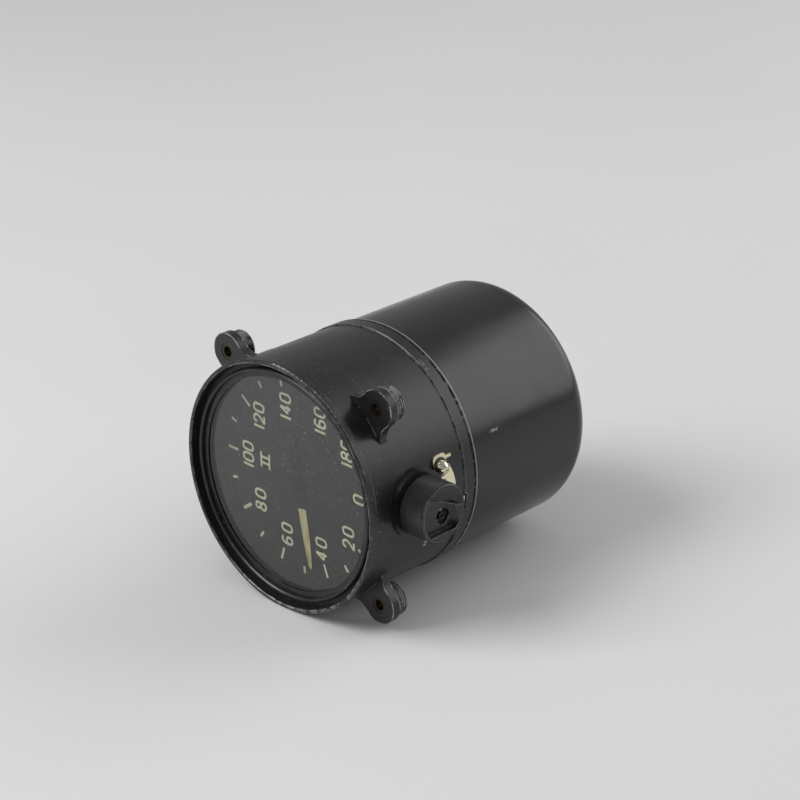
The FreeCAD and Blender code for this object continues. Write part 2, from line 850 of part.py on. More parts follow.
def make_knob():
    """The knob on an axis along +X: a dished end, and below a step across it a flat recess with a
    sloping flank and the screw's pocket."""
    corners = [
        (vector(knob_inner, 0, 0), 0),
        (vector(knob_inner, knob_radius - edge_round, 0), 0),
        (vector(knob_inner + 2 * edge_round, knob_radius, 0), 0),
        (vector(knob_outer, knob_radius, 0), -edge_break),
        (vector(knob_outer, 0, 0), 0),
    ]
    knob = Part.Face(rounded_wire(corners)).revolve(ORIGIN, X_AXIS, 360)
    well_radius = knob_radius - knob_rim
    well = rod_x(well_radius, knob_inner + 1, knob_outer + 1)
    dish = Part.makeCone(dish_foot, well_radius, dish_depth, vector(knob_outer - dish_depth, 0, 0), X_AXIS)
    above_step = half_end(step_place, step_angle)
    flank = sloping_block(flank_edge, flank_angle + 180.0, flank_tilt, 3 * knob_radius)
    floor = Part.makeBox(2 * knob_radius, 4 * knob_radius, 4 * knob_radius)
    floor.translate(vector(knob_outer - recess_depth, -2 * knob_radius, -recess_foot))
    recess = well.common(floor).cut(above_step).common(flank)
    knob = knob.cut(recess).cut(dish.common(above_step))
    knob = knob.cut(rod_x(pocket_radius, screw_seat, knob_outer + 1, *key_screw_offset))
    knob = knob.cut(rod_x(shaft_head_radius + seat_gap, knob_inner - 1, screw_seat))
    knob = knob.cut(rod_x(key_screw_radius + seat_gap, screw_seat - key_screw_length - shaft_end, knob_outer,
                          *key_screw_offset))
    knob.translate(vector(0, knob_station, knob_side))
    return knob.removeSplitter()


def make_knob_screw():
    """The screw that keys the knob to its shaft: it stands half in each, along the knob's axis."""
    y, z = key_screw_offset
    head = rod_x(key_screw_head_radius, screw_seat, screw_seat + key_screw_head, y, z)
    slot = Part.makeBox(2 * screw_slot_depth, 2 * key_screw_head_radius + 1, screw_slot_width)
    slot.translate(vector(screw_seat + key_screw_head - screw_slot_depth, y - key_screw_head_radius - 0.5,
                          z - screw_slot_width / 2))
    shank = rod_x(key_screw_radius, screw_seat - key_screw_length, screw_seat + key_screw_head / 4, y, z)
    screw = head.cut(slot).fuse(shank)
    screw.translate(vector(0, knob_station, knob_side))
    return screw


def make_knob_shaft():
    """The shaft, with a thicker end that fills the knob's bore."""
    shaft = on_knob_axis(shaft_radius, shaft_inner, screw_seat - seat_gap)
    shaft = shaft.fuse(on_knob_axis(shaft_head_radius, screw_seat - shaft_head_length, screw_seat - seat_gap))
    y, z = key_screw_offset
    hole = rod_x(key_screw_radius + seat_gap, screw_seat - key_screw_length - shaft_end, screw_seat + 1,
                 knob_station + y, knob_side + z)
    return shaft.cut(hole).removeSplitter()


def make_boss():
    boss = on_knob_axis(boss_radius, case_radius / 2, boss_top)
    boss = boss.cut(disc(case_radius + seat_gap, -2 * front_depth, band_length + band_step))
    boss = boss.cut(disc(case_skin + seat_gap, -2 * front_depth, 3 * case_length))
    return boss.cut(on_knob_axis(bushing_radius + seat_gap, 0, 2 * case_radius))


def make_bushing():
    """The threaded bush that carries the shaft through the case wall."""
    bushing = on_knob_axis(bushing_radius, bushing_inner, boss_top)
    return bushing.cut(on_knob_axis(shaft_radius + shaft_clearance, 0, 2 * case_radius))


def make_bushing_nut():
    board_inner = track_board_outer - board_thickness
    corners = []
    for index in range(6):
        y, z = on_circle(bushing_nut_radius, index * 60.0)
        corners.append(vector(board_inner - bushing_nut_thickness, knob_station + y, knob_side + z))
    nut = Part.Face(Part.makePolygon(corners + corners[:1])).extrude(vector(bushing_nut_thickness, 0, 0))
    return nut.cut(on_knob_axis(bushing_radius + seat_gap, 0, 2 * case_radius))


def make_track_board():
    board = on_knob_axis(track_radius, track_board_outer - board_thickness, track_board_outer)
    return board.cut(on_knob_axis(bushing_radius + seat_gap, 0, 2 * case_radius))


def make_track():
    """The wound resistance ring, open over the part of a turn that the wiper doesn't use."""
    inner = track_board_outer - board_thickness - track_thickness
    ring = on_knob_axis(track_radius, inner, inner + track_thickness)
    ring = ring.cut(on_knob_axis(track_radius - track_width, 0, 2 * case_radius))
    opening = Part.makeBox(track_thickness + 2, 2 * track_radius, track_opening)
    opening.translate(vector(inner - 1, knob_station - 2 * track_radius, knob_side - track_opening / 2))
    return ring.cut(opening)


def make_spacer_sleeve():
    """The collar between the case wall and the resistor's board."""
    sleeve = on_knob_axis(collar_radius, track_board_outer, case_radius)
    sleeve = sleeve.common(disc(bore_radius - seat_gap, -front_depth, case_length))
    return sleeve.cut(on_knob_axis(bushing_radius + seat_gap, 0, 2 * case_radius))


def make_wiper():
    hub = on_knob_axis(wiper_hub_radius, wiper_inner, wiper_inner + wiper_thickness)
    arm = Part.makeBox(wiper_thickness, track_radius - track_width / 2 + wiper_overrun, wiper_width)
    arm.translate(vector(wiper_inner, knob_station, knob_side - wiper_width / 2))
    wiper = hub.fuse(arm).cut(on_knob_axis(shaft_radius + seat_gap, 0, 2 * case_radius))
    return wiper.removeSplitter()


# Keeper plate on the case beside the knob
def ring_sector(inner, outer, angles, low, high):
    """Part of a flat ring about the knob's axis, between two angles from +Y towards +Z."""
    first, last = angles
    middle = (first + last) / 2

    def place(radius, angle):
        y, z = on_circle(radius, angle)
        return vector(low, knob_station + y, knob_side + z)

    edges = [
        Part.Arc(place(outer, first), place(outer, middle), place(outer, last)).toShape(),
        Part.LineSegment(place(outer, last), place(inner, last)).toShape(),
        Part.Arc(place(inner, last), place(inner, middle), place(inner, first)).toShape(),
        Part.LineSegment(place(inner, first), place(outer, first)).toShape(),
    ]
    return Part.Face(Part.Wire(edges)).extrude(vector(high - low, 0, 0))


def plan_block(low_y, high_y, low_z, high_z):
    return Part.makeBox(case_radius, high_y - low_y, high_z - low_z, vector(case_radius / 2, low_y, low_z))


def make_keeper():
    """A thin plate bent to the case: an ear under its screw, a neck round the knob and a tongue that
    ends before the clamp ring's slot."""
    width, height = keeper_ear
    low_y = keeper_screw_station - width / 2
    high_y = keeper_screw_station + width / 2
    high_z = keeper_screw_side + height / 2 + keeper_ear_lift
    low_z = high_z - height
    corners = [
        (vector(case_radius / 2, low_y, low_z), keeper_ear_corner),
        (vector(case_radius / 2, high_y, low_z), 0),
        (vector(case_radius / 2, high_y, high_z), keeper_ear_corner / 2),
        (vector(case_radius / 2, low_y, high_z), keeper_ear_corner),
    ]
    plan = Part.Face(rounded_wire(corners)).extrude(vector(case_radius, 0, 0))
    prong_length, prong_width = keeper_prong
    prong_top = high_z - keeper_ear_corner / 2
    plan = plan.fuse(plan_block(high_y - 1, high_y + prong_length, prong_top - prong_width, prong_top))
    neck_inner = boss_radius + keeper_neck_inner
    neck_outer = neck_inner + keeper_neck_width
    plan = plan.fuse(ring_sector(neck_inner, neck_outer, keeper_neck_angles, case_radius / 2, case_radius * 1.5))
    half_tongue = (slot_width - keeper_tongue_spare) / 2
    tongue_root = knob_station + neck_inner * math.cos(math.radians(keeper_neck_angles[0]))
    plan = plan.fuse(plan_block(tongue_root, case_length - keeper_tongue_gap, slot_side - half_tongue,
                                slot_side + half_tongue))
    skin_radius = case_skin + seat_gap
    plate = plan.common(tube(skin_radius + keeper_thickness, skin_radius, -front_depth, case_length))
    plate = plate.common(plan_block(0, case_length, -case_radius / 2, case_radius / 2))
    plate = plate.cut(on_knob_axis(boss_radius + keeper_boss_gap, 0, 2 * case_radius))
    return plate.cut(rod_x(keeper_screw_radius + seat_gap, 0, 2 * case_radius, keeper_screw_station,
                           keeper_screw_side)).removeSplitter()


def make_keeper_screw():
    """A round-head screw that stands square on the keeper plate."""
    y, z = keeper_screw_station, keeper_screw_side
    plate_radius = case_skin + seat_gap + keeper_thickness
    seat = math.sqrt(plate_radius ** 2 - (abs(z) - keeper_screw_head_radius) ** 2)
    head = Part.makeSphere(keeper_screw_head_radius, vector(seat, y, z), X_AXIS, 0, 90, 360)
    foot = rod_x(keeper_screw_head_radius, seat - keeper_screw_head_radius, seat, y, z)
    foot = foot.cut(disc(plate_radius + seat_gap, -front_depth, case_length))
    slot = Part.makeBox(2 * screw_slot_depth, 2 * keeper_screw_head_radius + 1, screw_slot_width)
    slot.translate(vector(seat + keeper_screw_head_radius - 1.5 * screw_slot_depth,
                          y - keeper_screw_head_radius - 0.5, z - screw_slot_width / 2))
    wall_inside = math.sqrt(bore_radius ** 2 - z ** 2)
    shank = rod_x(keeper_screw_radius, wall_inside - screw_end_gap, seat + small_screw_head / 4, y, z)
    return head.fuse(foot).fuse(shank).cut(slot).removeSplitter()


# Rear can, seal, clamp ring and socket
def make_clamp_ring():
    inner = can_radius + clamp_gap
    ring = turned([
        (inner, case_length + seat_gap, 0),
        (clamp_radius, case_length + seat_gap, -edge_break),
        (clamp_radius, case_length + clamp_width, -edge_break),
        (inner, case_length + clamp_width, 0),
    ])
    return ring.cut(plan_block(case_length - 1, case_length + slot_depth, slot_side - slot_width / 2,
                               slot_side + slot_width / 2))


def make_can():
    inner_leg = (can_corner_radius - can_wall) * can_inner_leg_share
    outer = turned([
        (0, can_front, 0),
        (can_radius, can_front, 0),
        (can_radius, can_back, can_corner_radius),
        (0, can_back + can_dome, 0),
    ])
    hollow = turned([
        (0, can_front - 1, 0),
        (can_radius - can_wall, can_front - 1, 0),
        (can_radius - can_wall, can_back - can_wall, -inner_leg),
        (0, can_back + can_dome - can_wall, 0),
    ])
    can = outer.cut(hollow)
    return can.cut(disc(socket_radius + seat_gap, can_back - 5, can_back + can_dome + 5))


def make_socket():
    """The threaded shell of the rear socket, with a flange inside the can."""
    inside = socket_seat - socket_flange
    end = can_back + can_dome + socket_length
    return turned([
        (socket_radius - socket_wall, inside),
        (socket_flange_radius, inside),
        (socket_flange_radius, socket_seat),
        (socket_radius - thread_relief, socket_seat),
        (socket_radius - thread_relief, barrel_start),
        (socket_radius, barrel_start),
        (socket_radius, end, -edge_break),
        (socket_radius - socket_wall, end),
    ])


def make_insulator():
    front = socket_seat - socket_flange
    body = disc(socket_radius - socket_wall - seat_gap, front, front + insulator_length)
    for x, z in contact_places:
        body = body.cut(rod_y(contact_radius + seat_gap, front - 1, front + insulator_length + 1, x, z))
    return body


def make_contacts():
    front = socket_seat - socket_flange
    back = front + insulator_length + contact_stand
    return [rod_y(contact_radius, front - contact_tail, back, x, z) for x, z in contact_places]


def make_terminal_board():
    front = rear_plate_back + board_standoff
    board = disc(board_radius, front, front + board_thickness)
    flat = Part.makeBox(4 * board_radius, board_thickness + 2, board_radius)
    half_width = board_radius * board_flat_share
    for offset in (half_width, -half_width - board_radius):
        cutter = flat.copy()
        cutter.translate(vector(-2 * board_radius, front - 1, offset))
        board = board.cut(cutter)
    for x, z in terminal_places:
        board = board.cut(rod_y(small_screw_radius + seat_gap, front - 1, front + board_thickness + 1, x, z))
    for x, z in standoff_places:
        board = board.cut(rod_y(small_screw_radius + seat_gap, front - 1, front + board_thickness + 1, x, z))
    return board


def make_standoffs():
    front = rear_plate_back
    back = rear_plate_back + board_standoff
    posts = []
    for x, z in standoff_places:
        post = rod_y(pillar_radius, front, back, x, z)
        posts.append(post.cut(rod_y(small_screw_radius + seat_gap, back - board_tap, back + 1, x, z)))
    return posts


def make_board_screws():
    seat = rear_plate_back + board_standoff + board_thickness
    return [screw_y(seat - board_thickness - board_screw_reach, seat, x, z, True) for x, z in standoff_places]


def make_terminals():
    seat = rear_plate_back + board_standoff + board_thickness
    return [screw_y(seat - board_thickness - terminal_screw_reach, seat + tag_thickness, x, z, True)
            for x, z in terminal_places]


def make_tags():
    seat = rear_plate_back + board_standoff + board_thickness
    tags = []
    for x, z in terminal_places:
        tag = Part.makeBox(tag_width + tag_height, tag_thickness, tag_width)
        tag.translate(vector(x - tag_width / 2 - tag_height, seat, z - tag_width / 2))
        tag = tag.fuse(rod_y(tag_eye_radius, seat, seat + tag_thickness, x, z))
        tags.append(tag.cut(rod_y(small_screw_radius + seat_gap, seat - 1, seat + 2, x, z)).removeSplitter())
    return tags


# Places that several pieces share
frame_screw_angles = (90.0, 150.0, 210.0, 270.0)
pillar_places = [on_circle(pillar_circle_radius, pillar_first_angle + index * 360.0 / pillar_count)
                 for index in range(pillar_count)]
dial_screw_places = [dial_point(dial_screw_circle, angle) for angle in (270.0, 90.0)]
stop_pin_place = dial_point(stop_circle_radius, scale_angle((scale_last_value + 360.0 / scale_step) / 2))
contact_places = [on_circle(contact_circle_radius, contact_first_angle + index * 360.0 / contact_count)
                  for index in range(contact_count)]
standoff_places = [(-board_radius * board_screw_share, 0.0), (board_radius * board_screw_share, 0.0)]
terminal_places = [((index - (terminal_count - 1) / 2) * terminal_pitch, terminal_offset)
                   for index in range(terminal_count)]
boss_top = case_radius + boss_height
case_skin = case_radius - band_step
knob_inner = boss_top + knob_gap
knob_outer = knob_inner + knob_length
screw_seat = knob_outer - pocket_depth
key_screw_offset = on_circle(shaft_head_radius, key_screw_angle)
track_board_outer = bore_radius - board_standing
bushing_inner = track_board_outer - board_thickness - bushing_nut_thickness
wiper_inner = track_board_outer - board_thickness - track_thickness - wiper_gap - wiper_thickness
shaft_inner = wiper_inner - shaft_end
front_plate_flat = shaft_inner - flat_clearance


# Build and export every piece
built = {}
os.makedirs("parts", exist_ok=True)
export("case_front", make_case())
export("lug_bushes", pattern(make_lug_bush(), lug_count, lug_first_angle))
export("window_retainer", make_retainer())
export("cover_glass", disc(window_seat_radius, retainer_back, glass_back))
export("glass_gasket", tube(window_seat_radius, window_radius + gasket_inset, glass_back, gasket_back))
export("dial_spacer", make_spacer())
export("dial_plate", make_dial())
export("dial_screws", make_dial_screws())
export("dial_posts", make_dial_posts())
export("pointer", to_reading(pointer_blade(), rest_value))
export("pointer_hub", make_hub())
export("pointer_staff", make_staff())
export("rotor_magnet", to_reading(make_rotor(), rest_value))
export("stop_arm", to_reading(make_stop_arm(), rest_value))
export("front_plate", make_front_plate())
export("rear_plate", make_rear_plate())
export("frame_pillars", make_pillars())
export("frame_screws", make_frame_screws())
export("pillar_screws", make_pillar_screws())
export("front_bearing", make_bearing(ledge_back, -1))
export("rear_bearing", make_bearing(rear_plate_front, 1))
export("front_jewel", make_jewel(ledge_back, -1))
export("rear_jewel", make_jewel(rear_plate_front, 1))
export("stop_pin", rod_y(stop_pin_radius, front_plate_back - stop_pin_seat + seat_gap,
                         stop_arm_front + stop_arm_thickness, *stop_pin_place))
export("hairspring", make_spring())
export("spring_collet", make_spring_collet())
export("spring_stud", make_spring_stud())
export("stator_ring", make_stator())
export("stator_coils", make_coils())
export("damping_cup", make_damping_cup())
export("side_knob", make_knob())
export("knob_screw", make_knob_screw())
export("knob_shaft", make_knob_shaft())
export("wiper_arm", make_wiper())
export("knob_boss", make_boss())
export("shaft_bushing", make_bushing())
export("bushing_collar", make_spacer_sleeve())
export("bushing_nut", make_bushing_nut())
export("resistor_board", make_track_board())
export("resistor_track", make_track())
export("keeper_plate", make_keeper())
export("keeper_screw", make_keeper_screw())
export("can_seal", tube(can_radius, spigot_radius + clamp_gap, case_length + seat_gap, can_front - seat_gap))
export("clamp_ring", make_clamp_ring())
export("rear_can", make_can())
export("socket_shell", make_socket())
export("socket_insulator", make_insulator())
export("socket_contacts", make_contacts())
export("terminal_board", make_terminal_board())
export("board_standoffs", make_standoffs())
export("board_screws", make_board_screws())
export("terminal_screws", make_terminals())
export("solder_tags", make_tags())

half_stop = math.degrees(math.asin((stop_pin_radius + stop_arm_width / 2) / stop_circle_radius))
spare = (360.0 - scale_last_value * scale_step) / 2 - half_stop - stop_slack
print("pointer travel past each end of the scale", round(spare, 2), "degrees")
for name, shape in built.items():
    print(name, len(shape.Solids), "valid" if shape.isValid() else "BAD", round(shape.Volume, 2))
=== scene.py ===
import bpy
import math
from mathutils import Matrix, Vector


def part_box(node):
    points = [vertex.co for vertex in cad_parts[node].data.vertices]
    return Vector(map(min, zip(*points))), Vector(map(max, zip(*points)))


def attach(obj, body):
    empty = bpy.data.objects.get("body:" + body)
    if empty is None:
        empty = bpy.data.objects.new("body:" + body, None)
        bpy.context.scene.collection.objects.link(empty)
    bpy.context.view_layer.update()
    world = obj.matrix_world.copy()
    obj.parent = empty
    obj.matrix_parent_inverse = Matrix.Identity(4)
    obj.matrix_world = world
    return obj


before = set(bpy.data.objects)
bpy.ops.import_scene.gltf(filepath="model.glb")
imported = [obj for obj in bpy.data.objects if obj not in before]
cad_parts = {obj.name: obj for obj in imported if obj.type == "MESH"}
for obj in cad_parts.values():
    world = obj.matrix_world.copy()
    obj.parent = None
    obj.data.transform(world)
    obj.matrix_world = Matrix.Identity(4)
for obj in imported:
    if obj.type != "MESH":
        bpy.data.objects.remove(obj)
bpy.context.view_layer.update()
mm = 0.001
print("frame loaded:", len(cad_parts), "nodes")


def hexColour(text):
    # an sRGB hex value turned to the linear colour that the shaders want
    parts = [int(text[i:i + 2], 16) / 255 for i in (0, 2, 4)]
    return tuple(c / 12.92 if c <= 0.04045 else ((c + 0.055) / 1.055) ** 2.4 for c in parts) + (1.0,)


def addNode(tree, kind, settings=None, sockets=None):
    # settings go on the node itself; a socket takes a value, an output, or the node whose result feeds it
    node = tree.nodes.new(kind)
    for name, value in (settings or {}).items():
        setattr(node, name, value)
    for name, value in (sockets or {}).items():
        if isinstance(value, bpy.types.Node):
            blendsColours = value.bl_idname == "ShaderNodeMix" and value.data_type == "RGBA"
            value = value.outputs[2 if blendsColours else 0]
        if isinstance(value, bpy.types.NodeSocket):
            tree.links.new(value, node.inputs[name])
        else:
            node.inputs[name].default_value = value
    return node


def startFinish(name):
    material = bpy.data.materials.new(name)
    material.use_nodes = True
    tree = material.node_tree
    tree.nodes.clear()
    return material, tree, addNode(tree, "ShaderNodeTexCoord").outputs["Object"]


def endFinish(tree, sockets):
    shader = addNode(tree, "ShaderNodeBsdfPrincipled", None, sockets)
    addNode(tree, "ShaderNodeOutputMaterial", None, {"Surface": shader})


# settings that many nodes share: a Map Range that eases in and out, and a Mix that blends colours
soft = {"interpolation_type": "SMOOTHSTEP"}
colours = {"data_type": "RGBA"}


def rubbedEdges(tree, place, look):
    # 1 where an edge is rubbed bare: a rounded normal leaves the real one only near an edge, and a patch
    # pattern breaks that line up into chips
    rounded = addNode(tree, "ShaderNodeBevel", {"samples": 6}, {"Radius": look["rubMm"] * mm})
    real = addNode(tree, "ShaderNodeNewGeometry").outputs["Normal"]
    turn = addNode(tree, "ShaderNodeVectorMath", {"operation": "DOT_PRODUCT"}, {0: rounded, 1: real})
    edge = addNode(tree, "ShaderNodeMapRange", soft,
                   {"Value": turn.outputs["Value"], "From Min": 0.988, "From Max": 0.93})
    chips = addNode(tree, "ShaderNodeTexNoise", None,
                    {"Vector": place, "Scale": 1 / (look["chipMm"] * mm), "Detail": 5.0, "Roughness": 0.68})
    share = addNode(tree, "ShaderNodeMath", {"operation": "MULTIPLY"}, {0: edge, 1: chips})
    return addNode(tree, "ShaderNodeMapRange", soft,
                   {"Value": share, "From Min": look["rubFrom"], "From Max": look["rubFrom"] + 0.05})


def bareSpot(tree, place, at, size):
    # 1 inside one torn patch of the paint, at a place and with half sizes in mm
    grainMm = 0.9
    near = addNode(tree, "ShaderNodeVectorMath", {"operation": "SUBTRACT"}, {0: place, 1: [v * mm for v in at]})
    near = addNode(tree, "ShaderNodeVectorMath", {"operation": "DIVIDE"}, {0: near, 1: [v * mm for v in size]})
    reach = addNode(tree, "ShaderNodeVectorMath", {"operation": "LENGTH"}, {0: near}).outputs["Value"]
    inside = addNode(tree, "ShaderNodeMapRange", soft, {"Value": reach, "From Min": 1.0, "From Max": 0.7})
    grain = addNode(tree, "ShaderNodeTexNoise", None, {"Vector": place, "Scale": 1 / (grainMm * mm), "Detail": 3.0})
    torn = addNode(tree, "ShaderNodeMapRange", soft, {"Value": grain, "From Min": 0.45, "From Max": 0.52})
    return addNode(tree, "ShaderNodeMath", {"operation": "MULTIPLY"}, {0: inside, 1: torn})


def stoveEnamel(name, paint, rubMm, rubFrom, chip=None, ring=None):
    # Black stoving enamel on an aluminium casting: sprayed and baked, a satin skin with faint orange peel
    # over the casting's own unevenness, dust caught on it most near the rim, and bare grey metal where
    # hands and the panel have rubbed the edges. Dust and peel are drawn coarser than real, so that they show
    look = {"paint": paint, "thin": "232324", "dust": "7D7D78", "bare": "EDEBE4", "rubMm": rubMm, "chipMm": 3.4,
            "rubFrom": rubFrom, "peelMm": 0.7, "castMm": 5.0, "patchMm": 9.0, "dustMm": 0.62, "wallMm": 42.5,
            "cornerShadeMm": 4.0, "cornerShade": "080706", "elsewhere": 0.22, "onLugs": 0.55, "lugMm": 31.82, "holeMm": 3.6,
            "rimMm": -8.5, "lipMm": 34.15, "metalShare": 0.35}
    material, tree, place = startFinish(name)
    patches = addNode(tree, "ShaderNodeTexNoise", None,
                      {"Vector": place, "Scale": 1 / (look["patchMm"] * mm), "Detail": 5.0, "Roughness": 0.6})
    thin = addNode(tree, "ShaderNodeMapRange", soft, {"Value": patches, "From Min": 0.4, "From Max": 0.8})
    skin = addNode(tree, "ShaderNodeMix", colours, {0: thin, 6: hexColour(look["paint"]), 7: hexColour(look["thin"])})
    grains = addNode(tree, "ShaderNodeTexNoise", None,
                     {"Vector": place, "Scale": 1 / (look["dustMm"] * mm), "Detail": 2.0})
    specks = addNode(tree, "ShaderNodeMapRange", soft, {"Value": grains, "From Min": 0.67, "From Max": 0.72})
    lengths = addNode(tree, "ShaderNodeSeparateXYZ", None, {0: place})
    along = lengths.outputs[1]
    nearRim = addNode(tree, "ShaderNodeMapRange", soft,
                      {"Value": along, "From Min": 0.0, "From Max": -6 * mm, "To Min": 0.3, "To Max": 0.85})
    settled = addNode(tree, "ShaderNodeMath", {"operation": "MULTIPLY"}, {0: specks, 1: nearRim})
    dusty = addNode(tree, "ShaderNodeMix", colours, {0: settled, 6: skin, 7: hexColour(look["dust"])})
    # painted shade: where the surface is closed in, round the lugs and the boss, it is coloured nearly black, and it is
    # dull there too
    corners = addNode(tree, "ShaderNodeAmbientOcclusion", {"samples": 6}, {"Distance": look["cornerShadeMm"] * mm})
    cornerShade = addNode(tree, "ShaderNodeMapRange", soft,
                    {"Value": corners.outputs["AO"], "From Min": 0.72, "From Max": 0.3, "To Max": 0.85})
    cornerShaded = addNode(tree, "ShaderNodeMix", colours, {0: cornerShade, 6: dusty, 7: hexColour(look["cornerShade"])})
    # hands and the panel reach the rim and the clamp ring's rear lip, the lugs less, the rest hardly at all
    across = addNode(tree, "ShaderNodeVectorMath", {"operation": "MULTIPLY"}, {0: place, 1: (1, 0, 1)})
    radius = addNode(tree, "ShaderNodeVectorMath", {"operation": "LENGTH"}, {0: across}).outputs["Value"]
    onLug = addNode(tree, "ShaderNodeMapRange", None,
                    {"Value": radius, "From Min": look["wallMm"] * mm, "From Max": (look["wallMm"] + 0.1) * mm,
                     "To Min": look["elsewhere"], "To Max": look["onLugs"]})
    folded = addNode(tree, "ShaderNodeVectorMath", {"operation": "ABSOLUTE"}, {0: across})
    lug = look["lugMm"] * mm
    hole = addNode(tree, "ShaderNodeVectorMath", {"operation": "DISTANCE"}, {0: folded, 1: (lug, 0, lug)})
    offHole = addNode(tree, "ShaderNodeMath", {"operation": "GREATER_THAN"},
                      {0: hole.outputs["Value"], 1: look["holeMm"] * mm})
    lugShare = addNode(tree, "ShaderNodeMath", {"operation": "MULTIPLY"}, {0: onLug, 1: offHole})
    onRim = addNode(tree, "ShaderNodeMath", {"operation": "LESS_THAN"}, {0: along, 1: look["rimMm"] * mm})
    onLip = addNode(tree, "ShaderNodeMath", {"operation": "GREATER_THAN"}, {0: along, 1: look["lipMm"] * mm})
    # the knob's side, where it is taken hold of, has lost more paint than the far side
    handled = addNode(tree, "ShaderNodeMapRange", soft,
                      {"Value": lengths.outputs[0], "From Min": -30 * mm, "From Max": 5 * mm, "To Min": 0.35})
    rimShare = addNode(tree, "ShaderNodeMath", {"operation": "MULTIPLY"}, {0: onRim, 1: handled})
    ends = addNode(tree, "ShaderNodeMath", {"operation": "MAXIMUM"}, {0: rimShare, 1: onLip})
    reached = addNode(tree, "ShaderNodeMath", {"operation": "MAXIMUM"}, {0: ends, 1: lugShare})
    edges = rubbedEdges(tree, place, look)
    bare = addNode(tree, "ShaderNodeMath", {"operation": "MULTIPLY"}, {0: edges, 1: reached})
    if chip:
        spot = bareSpot(tree, place, chip["at"], chip["size"])
        chipped = addNode(tree, "ShaderNodeMath", {"operation": "MULTIPLY"}, {0: spot, 1: chip["share"]})
        bare = addNode(tree, "ShaderNodeMath", {"operation": "MAXIMUM"}, {0: bare, 1: chipped})
    colour = addNode(tree, "ShaderNodeMix", colours, {0: bare, 6: cornerShaded, 7: hexColour(look["bare"])})
    metal = addNode(tree, "ShaderNodeMath", {"operation": "MULTIPLY"}, {0: bare, 1: look["metalShare"]})
    dull = cornerShade
    if ring:
        # a little dried residue; at the rear edge a black band broken by scuffs, painted shade for the groove there;
        # and the lip coloured grey, partly rubbed paint and partly a painted highlight
        residue = bareSpot(tree, place, ring["residueAt"], ring["residueSize"])
        stained = addNode(tree, "ShaderNodeMix", colours, {0: residue, 6: colour, 7: hexColour(ring["residue"])})
        scuffs = addNode(tree, "ShaderNodeTexNoise", None,
                         {"Vector": place, "Scale": 1 / (ring["scuffMm"] * mm), "Detail": 4.0})
        torn = addNode(tree, "ShaderNodeMapRange", soft, {"Value": scuffs, "From Min": 0.37, "From Max": 0.47})
        inBand = addNode(tree, "ShaderNodeMath", {"operation": "COMPARE"},
                         {0: along, 1: ring["bandMm"] * mm, 2: ring["bandHalf"] * mm})
        grooveShade = addNode(tree, "ShaderNodeMath", {"operation": "MULTIPLY"}, {0: inBand, 1: torn})
        grooveShaded = addNode(tree, "ShaderNodeMix", colours, {0: grooveShade, 6: stained, 7: hexColour(ring["grooveShade"])})
        lipShare = addNode(tree, "ShaderNodeMath", {"operation": "MULTIPLY"}, {0: onLip, 1: ring["lipShare"]})
        colour = addNode(tree, "ShaderNodeMix", colours, {0: lipShare, 6: grooveShaded, 7: hexColour(ring["lipRubAndHighlight"])})
        dull = addNode(tree, "ShaderNodeMath", {"operation": "MAXIMUM"}, {0: cornerShade, 1: grooveShade})
    satin = addNode(tree, "ShaderNodeMapRange", None, {"Value": patches, "To Min": 0.24, "To Max": 0.42})
    gloss = addNode(tree, "ShaderNodeMath", {"operation": "MAXIMUM"}, {0: satin, 1: dull})
    peel = addNode(tree, "ShaderNodeTexNoise", None,
                   {"Vector": place, "Scale": 1 / (look["peelMm"] * mm), "Detail": 2.0})
    cast = addNode(tree, "ShaderNodeTexNoise", None,
                   {"Vector": place, "Scale": 1 / (look["castMm"] * mm), "Detail": 2.0})
    waves = addNode(tree, "ShaderNodeBump", None, {"Height": cast, "Strength": 0.3, "Distance": 0.06 * mm})
    skinBump = addNode(tree, "ShaderNodeBump", None,
                       {"Height": peel, "Strength": 0.3, "Distance": 0.03 * mm, "Normal": waves})
    endFinish(tree, {"Base Color": colour, "Metallic": metal, "Roughness": gloss, "Normal": skinBump})
    return material


